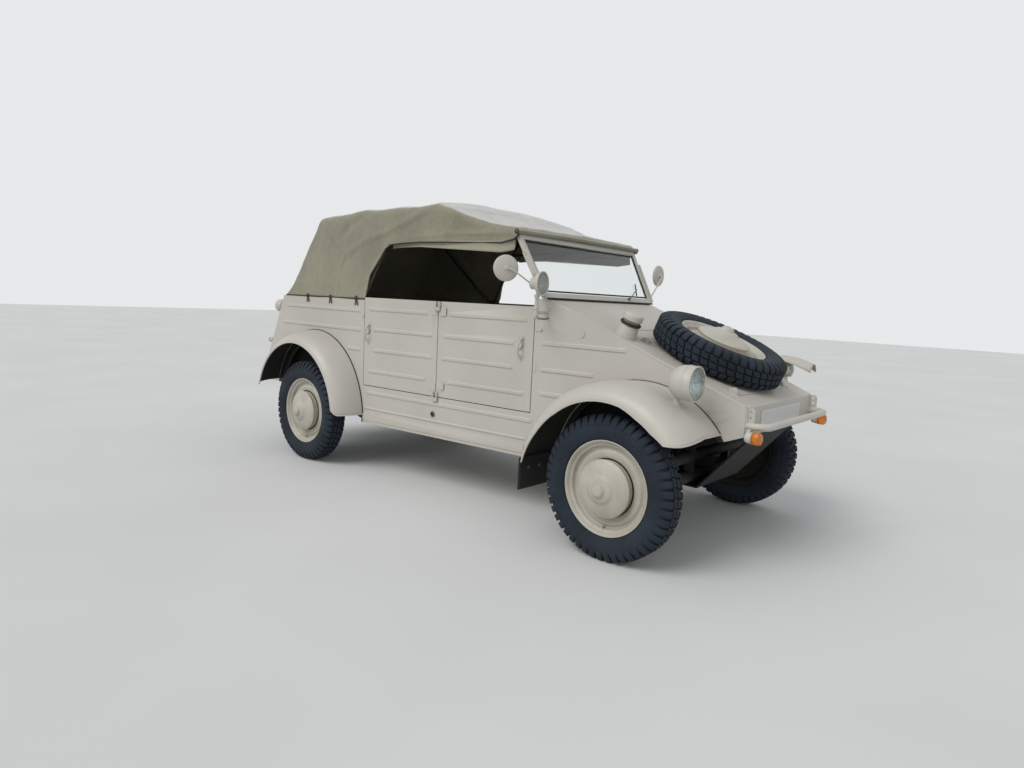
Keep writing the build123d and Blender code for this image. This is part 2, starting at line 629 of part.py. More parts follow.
def rear_tub():
    """Bulkhead behind the rear seat, luggage shelf and the engine bay's side walls."""
    back = TAIL_FOOT_X + PLATE
    shelf = (box(tail_x(SHELF_Z) + PLATE, BULKHEAD_X, -1000, 1000, SHELF_Z - PLATE, SHELF_Z)
             & body_plan(WALL))
    bulkhead = (box(BULKHEAD_X - PLATE, BULKHEAD_X, -1000, 1000, SILL_Z, SHELF_Z)
                & body_plan(WALL))
    walls = []
    for side in (-1, 1):
        y0, y1 = sorted((side * BAY_HALF, side * (BAY_HALF + PLATE)))
        walls.append(prism_y([(back + 60, TAIL_SKIRT), (back + 10, TAIL_FOOT),
                              (tail_x(SHELF_Z) + PLATE, SHELF_Z - PLATE / 2),
                              (BULKHEAD_X, SHELF_Z - PLATE / 2), (BULKHEAD_X, TAIL_SKIRT)], y0, y1))
    keep = prism_y(shifted(TAIL_LINE, PLATE) + [(BULKHEAD_X, TAIL_SKIRT - 200), (BULKHEAD_X, 1200),
                                                (TAIL_TOP_X, 1200)], -1000, 1000)
    return fused([shelf, bulkhead] + [wall & keep for wall in walls])


def fender_outline(section, thick):
    """Closed section of a fender's sheet, from (distance from the middle, radius) points."""
    inner = [(y - thick * (y > FENDER_Y - 2 * thick), r - thick) for y, r in section[:-1]]
    lip_y, lip_r = section[-1]
    return section + [(lip_y - thick, lip_r)] + inner[::-1]


def fender(section, centre_x, rear_angle, front_angle):
    """Right fender: its section turned about a line across the car, between two angles above +X."""
    a = radians(rear_angle)
    start = Plane((centre_x, 0, WHEEL_RADIUS), x_dir=(0, -1, 0), z_dir=(-sin(a), 0, cos(a)))
    face = start * make_face(Polyline(*fender_outline(section, FENDER_THICK), close=True))
    axis = Axis((centre_x, 0, WHEEL_RADIUS), (0, 1, 0))
    return revolve(face, axis, rear_angle - front_angle) - body_plan(0)


FRONT_SECTION = [(360, FRONT_ROOT), (520, FRONT_CROWN - 6), (640, FRONT_CROWN),
                 (730, FRONT_CROWN - 12), (780, FRONT_CROWN - 38), (FENDER_Y, FRONT_LIP)]
REAR_SECTION = [(540, REAR_ROOT), (640, REAR_ROOT - 6), (720, REAR_ROOT - 22),
                (775, REAR_ROOT - 52), (FENDER_Y, REAR_LIP)]


def front_fender():
    """Right front fender, cut along its front edge."""
    sheet = fender(FRONT_SECTION, AXLE_F, 174, 20)
    points = [(AXLE_F, -y, z) for y, z in FRONT_CUT] + [(AXLE_F, 0, 0), (AXLE_F, -1000, 0)]
    return sheet - extrude(make_face(Polyline(*points, close=True)), amount=700, dir=(1, 0, 0))


def rear_fender():
    """Right rear fender."""
    return fender(REAR_SECTION, REAR_MID, 164, 4)


def fender_core(section, centre_x):
    """Everything under a right fender's outer face."""
    points = [(y, 0) for y in (section[0][0], section[-1][0])]
    return turned([points[0]] + section + [points[1]], (centre_x, 0, WHEEL_RADIUS), -1)


def screen_plane():
    """Plane of the windscreen, with X across the car and Y up along the glass."""
    lean = Vector(-SCREEN_LEAN, 0, SCREEN_TOP_Z - SCREEN_Z).normalized()
    return Plane((SCREEN_X, 0, SCREEN_Z), x_dir=(0, 1, 0), z_dir=(lean.Z, 0, -lean.X))


SCREEN_LENGTH = sqrt(SCREEN_LEAN ** 2 + (SCREEN_TOP_Z - SCREEN_Z) ** 2)


def screen_sheet(inset, thick, foot):
    """Slab in the windscreen's plane, drawn in by inset, from foot up."""
    slope = (SCREEN_TOP_HALF - SCREEN_HALF) / SCREEN_LENGTH
    low, high = SCREEN_HALF + slope * foot - inset, SCREEN_TOP_HALF - inset
    top = SCREEN_LENGTH - inset
    points = [(-low, foot), (low, foot), (high, top), (-high, top)]
    face = screen_plane() * make_face(Polyline(*points, close=True))
    return extrude(face, amount=thick / 2, both=True)


def windscreen_frame():
    """Frame of the windscreen, cut level where it stands on the cowl."""
    ring = screen_sheet(0, SCREEN_DEEP, -20) - screen_sheet(SCREEN_FRAME, 60, SCREEN_FRAME)
    return ring - box(SCREEN_X - 300, SCREEN_X + 300, -1000, 1000, SCREEN_Z - 100, SCREEN_Z)


# Canvas top: shoulder's half width, shoulder's height, crown's height
MAIN_HOOP = (585, 1631, 1663)
REAR_HOOP = (565, 1575, 1613)
# The same after each section's station
TOP_SECTIONS = [(TAIL_TOP_X - 20, 560, 1543, 1578), (AXLE_R - 100, *REAR_HOOP),
                (AXLE_R + 330, 595, 1631, 1663), (DOOR_REAR, 592, 1631, 1663),
                (DOOR_SPLIT + 45, *MAIN_HOOP), (SCREEN_X - SCREEN_LEAN + 28, 566, 1503, 1512)]


def top_section(x, half, shoulder, crown, inset, foot_z):
    """One section of the canvas top: upright sides, bevelled shoulders and an arc over the middle."""
    foot = half_width(x) + TOP_PROUD - inset
    w, s, c = half - inset, shoulder - inset, crown - inset
    bevel = SHOULDER_BEVEL
    points = [(-foot, foot_z), (-w, s - bevel), (-w + bevel, s)]
    left = [(-y, z) for y, z in reversed(points)]
    lines = Polyline(*[(x, y, z) for y, z in points])
    over = ThreePointArc((x, *points[-1]), (x, 0, c), (x, *left[0]))
    rest = Polyline(*[(x, y, z) for y, z in left + [points[0]]])
    return make_face(Wire(lines.edges() + over.edges() + rest.edges()))


def top_hull(inset, foot_z, ahead):
    """Solid inside the canvas top's faces, drawn in by inset."""
    table = TOP_SECTIONS[:-1] + [(TOP_SECTIONS[-1][0] + ahead, *TOP_SECTIONS[-1][1:])]
    hull = loft([top_section(*row, inset, foot_z) for row in table], ruled=True)
    slip = inset * 1.25
    back = [(TAIL_TOP_X + 22 + slip, foot_z), (REAR_CORNER_X + slip, REAR_CORNER_Z - inset * 0.6),
            (REAR_CORNER_X + 160 + slip, 1800), (1500, 1800), (1500, foot_z)]
    return hull & prism_y(back, -1000, 1000)


def canvas_top():
    """Canvas top, open below and over the doors, with a lip down to the windscreen's top."""
    foot = QUARTER_TOP + TOP_CLEAR
    shell = top_hull(0, foot, 0) - top_hull(CANVAS, foot - 1, -CANVAS)
    front = SCREEN_X - SCREEN_LEAN
    window = [(DOOR_REAR - DOOR_GAP - 10, foot - 1), (WINDOW_CORNER_X, WINDOW_TOP - 22),
              (WINDOW_CORNER_X + 290, WINDOW_TOP), (front - 120, WINDOW_TOP - 12),
              (front + 5, SCREEN_TOP_Z + 6),
              (front + 12, SCREEN_TOP_Z + 6), (front + 12, SCREEN_TOP_Z + 22), (1500, SCREEN_TOP_Z + 22),
              (1500, foot - 1)]
    return shell - prism_y(window, -1000, 1000)


def tube(points, radii, radius):
    """Round tube along straight runs joined by arcs."""
    path = FilletPolyline(*points, radius=radii)
    return sweep(Plane(path @ 0, z_dir=path % 0) * Circle(radius), path=path)


def bow_leg(x0, z0, x1, half, shoulder):
    """Foot and upper end of a hoop's right leg."""
    drop = CANVAS + BOW_RADIUS + 8
    foot = Vector(x0, -(half_width(x0) - CANVAS - BOW_RADIUS), z0)
    return foot, Vector(x1 - 8, -(half - drop - 6), shoulder - SHOULDER_BEVEL - drop)


def bow(x0, z0, x1, half, shoulder, crown):
    """Hoop under the canvas, from the body's sides over the roof."""
    drop = CANVAS + BOW_RADIUS + 8
    foot, elbow = bow_leg(x0, z0, x1, half, shoulder)
    start = foot + (foot - elbow).normalized() * 20
    right = [start, elbow, Vector(x1, -(half - drop - SHOULDER_BEVEL), shoulder - drop)]
    left = [Vector(point.X, -point.Y, point.Z) for point in reversed(right)]
    path = right + [Vector(x1, 0, crown - drop)] + left
    hoop = tube([tuple(point) for point in path], [40, 40, 2000, 40, 40], BOW_RADIUS)
    return hoop - box(x0 - 200, x0 + 200, -1000, 1000, z0 - 100, z0)


def wheel_profile(drum):
    """Rim, disc, hubcap and, on a running wheel, brake drum as (outboard distance, radius)."""
    tip = SEAT_RADIUS + FLANGE_RISE
    outer = [(NUB_OUT, 0), (NUB_OUT, 22), (NUB_OUT - 10, 33), (NUB_OUT - 26, 35),
             (NUB_OUT - 32, 62), (HUBCAP_OUT + 12, 110), (HUBCAP_OUT, HUBCAP_RADIUS),
             (17, HUBCAP_RADIUS), (17, 176), (SEAT_HALF - 1, SEAT_RADIUS - 8),
             (SEAT_HALF + FLANGE_LEAN + 4, tip), (SEAT_HALF + FLANGE_LEAN, tip),
             (SEAT_HALF, SEAT_RADIUS)]
    inner = [(-SEAT_HALF, SEAT_RADIUS), (-SEAT_HALF - FLANGE_LEAN, tip),
             (-SEAT_HALF - FLANGE_LEAN - 4, tip), (-SEAT_HALF + 1, SEAT_RADIUS - 8), (DISC_BACK, 184)]
    if not drum:
        return outer + inner + [(DISC_BACK, 0)]
    bore = STUB_RADIUS + FIT
    return outer + inner + [(DISC_BACK, DRUM_RADIUS), (-DRUM_DEPTH, DRUM_RADIUS), (-DRUM_DEPTH, bore),
                            (STUB_OUT, bore), (STUB_OUT, 0)]


def tyre_profile():
    """Tyre section as (outboard distance, radius) points, seated between the rim's flanges."""
    half, tread = TYRE_WIDTH / 2, TREAD_WIDTH / 2
    tip = SEAT_RADIUS + FLANGE_RISE
    side = SEAT_HALF + FLANGE_LEAN
    return [(SEAT_HALF, SEAT_RADIUS), (side, tip), (half, BELLY_RADIUS), (tread, WHEEL_RADIUS),
            (-tread, WHEEL_RADIUS), (-half, BELLY_RADIUS), (-side, tip), (-SEAT_HALF, SEAT_RADIUS)]


def knuckle_right():
    """Right steering knuckle: kingpin boss, backing plate, stub axle and steering arm."""
    y0 = -WHEEL_Y
    plate = -DRUM_DEPTH - DOOR_GAP
    body = turned([(STUB_OUT - 2, 0), (STUB_OUT - 2, STUB_RADIUS), (plate, STUB_RADIUS),
                   (plate, DRUM_RADIUS), (plate - 6, DRUM_RADIUS), (plate - 6, 32),
                   (-KINGPIN_INSET, 32), (-KINGPIN_INSET, 0)], (AXLE_F, y0, WHEEL_RADIUS), -1)
    boss = rod((AXLE_F, -KINGPIN_Y, WHEEL_RADIUS - BOSS_TALL / 2),
               (AXLE_F, -KINGPIN_Y, WHEEL_RADIUS + BOSS_TALL / 2), BOSS_RADIUS)
    bore = rod((AXLE_F, -KINGPIN_Y, WHEEL_RADIUS - 200), (AXLE_F, -KINGPIN_Y, WHEEL_RADIUS + 200),
               KINGPIN_RADIUS + FIT)
    arm = box(AXLE_F - STEERING_ARM, AXLE_F, -KINGPIN_Y - 10, -KINGPIN_Y + 10,
              WHEEL_RADIUS - 12, WHEEL_RADIUS + 12)
    return fused([body, boss, arm]) - bore


def front_axle():
    """Two torsion tubes with trailing arms, kingpins, and the final drive with its shafts."""
    solids = []
    x = AXLE_F + TORSION_AHEAD
    levels = ((WHEEL_RADIUS + 95, WHEEL_RADIUS + ARM_APART), (WHEEL_RADIUS - 5, WHEEL_RADIUS - ARM_APART))
    for tube_z, pin_z in levels:
        solids.append(rod((x, -TORSION_HALF, tube_z), (x, TORSION_HALF, tube_z), TORSION_RADIUS))
        for side in (-1, 1):
            elbow = side * (TORSION_HALF - 14)
            end = side * KINGPIN_Y
            solids.append(rod((x, elbow, tube_z), (AXLE_F, end, pin_z), ARM_RADIUS))
            solids.append(rod((AXLE_F, end, pin_z - 13), (AXLE_F, end, pin_z + 13), KINGPIN_RADIUS + 6))
    for side in (-1, 1):
        y = side * KINGPIN_Y
        solids.append(rod((AXLE_F, y, WHEEL_RADIUS - ARM_APART), (AXLE_F, y, WHEEL_RADIUS + ARM_APART),
                          KINGPIN_RADIUS))
        solids.append(box(x - 20, x + 20, side * 200 - 12, side * 200 + 12, WHEEL_RADIUS - 20, BELLY_Z))
    return fused(solids + front_drive())


def front_drive():
    """Final drive and half shafts, bolted to a cross member on the torsion tubes."""
    case = turned([(-70, 0), (-70, 52), (-40, 70), (40, 70), (70, 52), (70, 0)],
                  (AXLE_F, 0, WHEEL_RADIUS + 40), 1)
    reach = KINGPIN_Y - BOSS_RADIUS - 3
    shaft = rod((AXLE_F, -reach, WHEEL_RADIUS), (AXLE_F, reach, WHEEL_RADIUS), 13)
    x = AXLE_F + TORSION_AHEAD
    member = box(AXLE_F + 40, x + 12, -45, 45, WHEEL_RADIUS + 10, WHEEL_RADIUS + 80)
    return [case, shaft, member]


def rear_axle():
    """Gearbox, swing tubes, reduction boxes, backing plates, stubs and the torsion tube."""
    solids = []
    z = WHEEL_RADIUS + PORTAL
    solids.append(rod((AXLE_R - 180, 0, z), (BULKHEAD_X - 60, 0, z - 30), 105))
    solids.append(rod((AXLE_R, -500, z), (AXLE_R, 500, z), 34))
    x = AXLE_R + 250
    solids.append(rod((x, -470, z - 10), (x, 470, z - 10), 40))
    solids.append(box(x - 40, BULKHEAD_X - PLATE, -60, 60, SILL_Z - FLOOR_THICK - 20, z - 20))
    plate = -DRUM_DEPTH - DOOR_GAP
    for side in (-1, 1):
        hub = turned([(STUB_OUT - 2, 0), (STUB_OUT - 2, STUB_RADIUS), (plate, STUB_RADIUS),
                      (plate, DRUM_RADIUS), (plate - 6, DRUM_RADIUS), (plate - 6, 60),
                      (plate - 60, 60), (plate - 60, 0)], (AXLE_R, side * WHEEL_Y, WHEEL_RADIUS), side)
        y0, y1 = sorted((side * (WHEEL_Y + plate - 6), side * (WHEEL_Y + plate - 60)))
        casing = box(AXLE_R - 60, AXLE_R + 60, y0, y1, WHEEL_RADIUS, z)
        head = rod((AXLE_R, y0, z), (AXLE_R, y1, z), 60)
        y2, y3 = sorted((side * 455, side * 463))
        link = prism_y([(x - 30, z - 40), (x + 40, z - 40), (x + 40, z + 20), (AXLE_R - 40, z + 40),
                        (AXLE_R - 40, z - 30)], y2, y3)
        swing = rod((AXLE_R, side * 480, z), (AXLE_R, side * (WHEEL_Y + plate - 30), z), 34)
        solids += [hub, casing, head, link, swing]
    return fused(solids) - engine_block()


def write(name, shape):
    """Write one node, as one solid or as a compound of its solids."""
    pieces = shape if isinstance(shape, (list, tuple)) else [shape]
    solids = [solid for piece in pieces for solid in piece.solids()]
    shape = solids[0] if len(solids) == 1 else Compound(children=list(solids))
    export_step(shape, f"parts/{name}.step")


def top_frame():
    """Hoops, header and side rails that carry the canvas."""
    seat = QUARTER_TOP + TOP_CLEAR
    pivot_x = DOOR_REAR - 40
    main_x = WINDOW_CORNER_X + 60
    solids = [bow(pivot_x, seat, main_x, *MAIN_HOOP), bow(pivot_x - 40, seat, AXLE_R - 40, *REAR_HOOP)]
    _, half, _, crown = TOP_SECTIONS[-1]
    x = SCREEN_X - SCREEN_LEAN
    y, low = half - CANVAS - 30, SCREEN_TOP_Z + TOP_CLEAR
    solids.append(header_board(x, y, low, crown - CANVAS - 6))
    foot, elbow = bow_leg(pivot_x, seat, main_x, *MAIN_HOOP[:2])
    joint = foot + (elbow - foot) * ((WINDOW_TOP + 12 - foot.Z) / (elbow.Z - foot.Z))
    rail = rod((x - 8, -(y - 8), low + 10), tuple(joint), 7)
    plate = [(pivot_x + 14, seat), (pivot_x + 2, seat + 30), (pivot_x - 52, seat + 30), (pivot_x - 56, seat)]
    middle = CANVAS + BOW_RADIUS - half_width(pivot_x)
    bracket = prism_y(plate, middle - 3, middle + 3)
    for solid in (rail, bracket):
        solids += [solid, mirrored(solid)]
    return fused(solids)


def header_board(x, y, low, crown):
    """Board over the windscreen's top edge, arched like the canvas."""
    sides = Polyline((x, -y, low + 8), (x, -y, low), (x, y, low), (x, y, low + 8))
    over = ThreePointArc((x, -y, low + 8), (x, 0, crown), (x, y, low + 8))
    board = make_face(Wire(sides.edges() + over.edges()))
    return extrude(board, amount=16, dir=(-1, 0, 0))


def bumper(x0, x1, half, z, radius):
    """Bent tube across one end of the car, on two round-headed plates."""
    turn = 55
    path = [(x0, -half, z), (x1, -half, z), (x1, half, z), (x0, half, z)]
    solids = [tube(path, [turn, turn], radius)]
    ahead = 1 if x1 > x0 else -1
    for side in (-1, 1):
        plate = prism_y([(x0, z - 34), (x0 + ahead * 34, z - 34), (x0 + ahead * 34, z + 60), (x0, z + 60)],
                        side * half - 4, side * half + 4)
        head = rod((x0 + ahead * 17, side * half - 4, z + 60), (x0 + ahead * 17, side * half + 4, z + 60), 17)
        solids += [plate, head]
    holes = [rod((x0 + ahead * 17, -500, z + rise), (x0 + ahead * 17, 500, z + rise), BUMPER_HOLE / 2)
             for rise in (36, 62)]
    return fused(solids) - holes


def bumper_front():
    """Bent tube ahead of the nose."""
    return bumper(NOSE_X, BUMPER_X, BUMPER_HALF, BUMPER_Z, BUMPER_RADIUS)


def rear_bumper():
    """Bent tube behind the tail's skirt."""
    x = TAIL_FOOT_X + SKIRT_IN / 3
    return bumper(x, TAIL_BUMPER_X, BUMPER_HALF, REAR_BUMPER_Z, BUMPER_RADIUS) - tail_block()


def lathe_x(points, x, y, z):
    """Solid turned about a line along the car, from (distance ahead, radius) points."""
    outline = make_face(Polyline(*[(x + d, y + r, z) for d, r in points], close=True))
    return revolve(outline, Axis((x, y, z), (1, 0, 0)))


def front_lamps():
    """Round headlamp on the right fender and hooded driving lamp on the left one."""
    y = LAMP_Y
    dome = [(-LAMP_DEEP * cos(radians(turn)), 74 * sin(radians(turn))) for turn in range(0, 91, 15)]
    bucket = lathe_x(dome[:-1] + [(-6, 74), (-6, 78), (4, 78), (4, 70), (-2, 70), (-2, 0)], LAMP_X, -y, LAMP_Z)
    stem_x = LAMP_X - LAMP_DEEP * 0.7
    stem = rod((stem_x, -y, LAMP_FOOT), (stem_x, -y, LAMP_Z - 45), 14)
    right = fused([bucket, stem]) - fender_core(FRONT_SECTION, AXLE_F)
    x = DRIVING_X
    body = lathe_x([(-50, 0), (-46, 24), (-30, 36), (10, 36), (10, 0)], x, y, LAMP_Z)
    hood_line = [(-45, 66), (10, 70), (120, 26), (120, 20), (10, 48), (-45, 44)]
    visor = prism_y([(x + dx, LAMP_Z + dz) for dx, dz in hood_line], y - 55, y + 55)
    neck = box(x - 30, x - 5, y - 12, y + 12, LAMP_Z + 20, LAMP_Z + 55)
    foot = rod((x - 20, y, LAMP_FOOT), (x - 20, y, LAMP_Z - 20), 15)
    left = fused([body, visor, neck, foot]) - mirrored(fender_core(FRONT_SECTION, AXLE_F))
    return [right, left]


def lamp_glass():
    """Glasses of the two front lamps."""
    right = lathe_x([(-2, 0), (-2, 70), (4, 70), (9, 40), (11, 0)], LAMP_X, -LAMP_Y, LAMP_Z)
    left = lathe_x([(10, 0), (10, 34), (15, 28), (18, 0)], DRIVING_X, LAMP_Y, LAMP_Z)
    return [right, left]


def signal_lamps():
    """Direction indicators under the front bumper and on the tail, and the tail lamps."""
    solids = []
    z = BUMPER_Z - BUMPER_RADIUS - 28
    x = NOSE_X + 12
    for side in (-1, 1):
        y = side * (BUMPER_HALF + 26)
        solids.append(fused([lathe_x([(0, 0), (0, 20), (24, 24), (24, 0)], x, y, z),
                             lathe_x([(24, 0), (24, 28), (60, 28), (70, 18), (70, 0)], x, y, z),
                             prism_z([(x + 2, y - side * 26), (x + 2, y + side * 6), (x + 18, y + side * 6),
                                      (x + 18, y - side * 26)], z + 12, BUMPER_Z - 8)])
                      - bumper_front())
        y = side * (TAIL_HALF - 45)
        stub_x = tail_x(STUB_Z)
        stub = lathe_x([(40, 0), (40, 9), (-60, 9), (-60, 20), (-TAIL_STUB, 20), (-TAIL_STUB, 0)],
                       stub_x, y, STUB_Z)
        solids.append(stub - tail_block())
        pod_x = tail_x(POD_Z)
        pod = lathe_x([(40, 0), (40, 14), (-30, 14), (-40, 40), (-95, 46), (-105, 40), (-112, 0)],
                      pod_x, y, POD_Z)
        solids.append(pod - tail_block())
    return solids


def tail_block():
    """Everything ahead of the tail's outer face."""
    return prism_y(TAIL_LINE + [(0, TAIL_SKIRT), (0, QUARTER_TOP)], -1000, 1000)


def mirrors():
    """Round mirrors on stalks from the windscreen posts."""
    solids = []
    # side, then the head's middle
    for side, x, y, z in ((-1, SCREEN_X - 140, 660, 1280), (1, SCREEN_X - 45, 668, 1319)):
        head = lathe_x([(-8, 0), (-8, 62), (-4, 66), (4, 62), (12, 20), (12, 0)], x, side * y, z)
        foot = (SCREEN_X - 12, side * (SCREEN_HALF - 4), SCREEN_Z + 24)
        stalk = rod((x + 10, side * y, z), foot, 5)
        solids.append(fused([head, stalk]) - screen_sheet(0, SCREEN_DEEP, -20))
    return solids


def hood_solid():
    """Everything under the hood's outer face."""
    return prism_y(HOOD_LINE + [(NOSE_X, 500), (DASH_X, 500)], -1000, 1000)


def searchlight():
    """Searchlight on a post held off the body side beside the windscreen's foot."""
    x, y, z = SCREEN_X, -SCREEN_HALF - 62, SCREEN_Z + 72
    bucket = lathe_x([(-70, 0), (-66, 26), (-45, 50), (-12, 60), (0, 63), (0, 0)], x + 39, y, z)
    post = rod((x, y, z - 165), (x, y, z - 40), 10)
    arm = box(x - 14, x + 14, y - 12, 0, z - 152, z - 132)
    pad = box(x - 22, x + 22, -half_width(x) - 9, 0, z - 170, z - 110)
    lever = rod((x, y, z - 158), (x + 90, y - 10, z - 168), 6)
    return fused([bucket, post, arm, pad, lever]) - body_plan(0)


def fuel_filler():
    """Filler neck, collar and cap on the hood's right edge."""
    x, y = AXLE_F - 170, -370
    profile = [(0, -40), (55, -40), (55, 10), (44, 62), (52, 66), (52, 76), (44, 78), (48, 84),
               (48, 112), (40, 120), (0, 124)]
    neck = revolve(make_face(Polyline(*[(r, 0, h) for r, h in profile], close=True)), Axis.Z)
    return Location((x, y, hood_z(x)), (0, degrees(SLOPE), 0)) * neck - hood_solid()


def mudflap():
    """Right rubber flap hanging from the rear edge of the front fender."""
    x = AXLE_F + FLAP_X
    flap = box(x, x + 6, -FENDER_Y + 14, -520, FLAP_FOOT, WHEEL_RADIUS + 62)
    return flap - fender(FRONT_SECTION, AXLE_F, 178, 20)


def number_plate():
    """Blank plate on the nose."""
    return box(NOSE_X, NOSE_X + 4, -240, 240, NOSE_FOOT + 24, NOSE_TOP - 24)


def engine_block():
    """Flat engine behind the rear axle, as one block with its cylinder banks."""
    x = AXLE_R - 180
    crank = box(x - 330, x + 30, -150, 150, SILL_Z, HATCH_FOOT)
    banks = box(x - 270, x - 20, -340, 340, SILL_Z + 50, SILL_Z + 170)
    return fused([crank, banks])


def exhaust():
    """Silencer across the car behind the engine, with its pipes and tail pipe."""
    x, z = AXLE_R - 580, SILL_Z + 70
    drum = rod((x, -230, z), (x, 230, z), 55)
    solids = [drum, rod((x, 150, z - 20), (TAIL_FOOT_X - 10, 150, z - 40), 20)]
    for side in (-1, 1):
        solids.append(rod((x, side * 190, z + 20), (AXLE_R - 440, side * 190, z + 30), 18))
    return fused(solids) - engine_block()


def seat(x, y0, y1, depth, cushion_z, thick, back_z, lean):
    """Cushion and backrest of one seat; x is the foot of the backrest's rear face."""
    cushion = box(x + BACK_THICK + 2, x + depth, y0, y1, cushion_z, cushion_z + thick)
    back = prism_y([(x, cushion_z), (x + BACK_THICK, cushion_z), (x + BACK_THICK - lean, back_z),
                    (x - lean, back_z)], y0, y1)
    return [fillet(cushion.edges().filter_by(Axis.Y), 24), fillet(back.edges().filter_by(Axis.Y), 18)]


def front_seats():
    """Cushions and backrests of both front seats."""
    solids = []
    for side in (-1, 1):
        y0, y1 = sorted((side * SEAT_IN, side * SEAT_OUT))
        solids += seat(FRONT_SEAT_X, y0, y1, SEAT_DEPTH, CUSHION_Z, 90, SEAT_BACK_Z, SEAT_LEAN)
    return solids


def seat_frames():
    """Tubular frames of the front seats: legs, rails and back hoops, standing on the floor."""
    r = 11
    rail_z = CUSHION_Z - r - TOP_CLEAR
    solids = []
    for side in (-1, 1):
        tubes = []
        for y in (SEAT_IN + 40, SEAT_OUT - 40):
            for x in (FRONT_SEAT_X + 60, FRONT_SEAT_X + SEAT_DEPTH - 60):
                tubes.append(rod((x, side * y, SILL_Z), (x, side * y, rail_z), r))
            heel = FRONT_SEAT_X - r - TOP_CLEAR - 1
            top = SEAT_BACK_Z - 60
            tilt = SEAT_LEAN * (top - CUSHION_Z) / (SEAT_BACK_Z - CUSHION_Z)
            tubes.append(rod((heel, side * y, rail_z), (FRONT_SEAT_X + SEAT_DEPTH - 20, side * y, rail_z), r))
            tubes.append(rod((heel, side * y, rail_z), (heel, side * y, CUSHION_Z), r))
            tubes.append(rod((heel, side * y, CUSHION_Z), (heel - tilt, side * y, top), r))
        low, high = SEAT_IN + 40, SEAT_OUT - 40
        tubes.append(rod((heel, side * low, rail_z), (heel, side * high, rail_z), r))
        solids.append(fused(tubes))
    return solids


def rear_seat():
    """Rear bench and its backrest against the bulkhead."""
    return seat(BULKHEAD_X + TOP_CLEAR, -470, 470, 500, CUSHION_Z - 40, 110, 1020, 0)


def bench_base():
    """Box under the rear bench."""
    x = BULKHEAD_X + 100
    shell = box(x, x + 360, -440, 440, SILL_Z, CUSHION_Z - 40 - TOP_CLEAR)
    tunnel = box(x - 1, x + 361, -TUNNEL_HALF - 1, TUNNEL_HALF + 1, SILL_Z - 1, SILL_Z + TUNNEL_TALL + 1)
    return shell - tunnel


def steering_column():
    """Column from the firewall to just under the steering wheel's hub."""
    a, b = Vector(*COLUMN_FOOT), Vector(*WHEEL_HUB)
    along = (b - a).normalized()
    column = rod(tuple(a - along * 30), tuple(b - along * COLUMN_GAP), 16)
    return column - box(FIREWALL_X - PLATE, FIREWALL_X + 100, -1000, 1000, 0, 1500)


def steering_wheel():
    """Rim, three spokes and hub."""
    a, b = Vector(*COLUMN_FOOT), Vector(*WHEEL_HUB)
    plane = Plane(b, x_dir=(0, 1, 0), z_dir=(b - a).normalized())
    hub = Cylinder(26, 40)
    rim = Torus(STEERING_RADIUS, 11)
    spokes = [Rot(0, 0, angle) * Location((0, 0, 0), (0, 90, 0))
              * Cylinder(7, STEERING_RADIUS, align=(Align.CENTER, Align.CENTER, Align.MIN))
              for angle in (90, 210, 330)]
    return plane * fused([hub, rim] + spokes)


def place_wheel(points, x, side):
    """Wheel or tyre from its profile, on one axle end."""
    return turned(points, (x, side * WHEEL_Y, WHEEL_RADIUS), side)


def spare(points):
    """Wheel or tyre lying on the luggage lid with its hubcap up."""
    flat = Rot(90, 0, 0) * turned(points, (0, 0, 0), 1)
    return spare_place(SPARE_REST + TYRE_WIDTH / 2) * flat


def main():
    """Write every node."""
    os.makedirs("parts", exist_ok=True)
    nodes = {}
    both = {"side": side_right(),
            "door_front": door_right(DOOR_SPLIT + DOOR_GAP / 2, DOOR_FRONT, 1, DOOR_FRONT - 70, 112),
            "door_rear": door_right(DOOR_REAR, DOOR_SPLIT - DOOR_GAP / 2, -1, DOOR_REAR + 40, 76),
            "knuckle": knuckle_right()}
    for name, solid in both.items():
        nodes[name + "_right"] = solid
        nodes[name + "_left"] = mirrored(solid)
    pairs = {"front_fenders": front_fender(), "rear_fenders": rear_fender(), "mudflaps": mudflap()}
    for name, solid in pairs.items():
        nodes[name] = [solid, mirrored(solid)]
    nodes.update(floor_pan=floor_pan(), front_box=front_box(), nose_panel=nose_panel(),
                 skid_plate=skid_plate(), hood=hood(), luggage_lid=lid(), dashboard=dashboard(),
                 tail_panel=tail_panel(), engine_lid=engine_lid(), rear_tub=rear_tub(),
                 windscreen_frame=windscreen_frame(),
                 windscreen_glass=screen_sheet(SCREEN_FRAME, GLASS, SCREEN_FRAME),
                 canvas_top=canvas_top(), top_frame=top_frame(),
                 front_bumper=bumper_front(),
                 rear_bumper=rear_bumper(), front_lamps=front_lamps(), lamp_glass=lamp_glass(),
                 signal_lamps=signal_lamps(), mirrors=mirrors(), searchlight=searchlight(),
                 fuel_filler=fuel_filler(), number_plate=number_plate(),
                 front_seats=front_seats(), seat_frames=seat_frames(), rear_seat=rear_seat(),
                 bench_base=bench_base(), front_axle=front_axle(),
                 rear_axle=rear_axle(), engine_block=engine_block(), exhaust=exhaust(),
                 steering_column=steering_column(), steering_wheel=steering_wheel(),
                 spare_wheel=spare(wheel_profile(False)), spare_tyre=spare(tyre_profile()))
    for name, x, side in (("fl", AXLE_F, 1), ("fr", AXLE_F, -1), ("rl", AXLE_R, 1), ("rr", AXLE_R, -1)):
        nodes["wheel_" + name] = place_wheel(wheel_profile(True), x, side)
        nodes["tyre_" + name] = place_wheel(tyre_profile(), x, side)
    for name, shape in nodes.items():
        write(name, shape)


if __name__ == "__main__":
    main()
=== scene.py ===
from math import atan2, cos, pi, radians, sin

import bmesh
import bpy
import numpy as np
from mathutils import Matrix, Vector


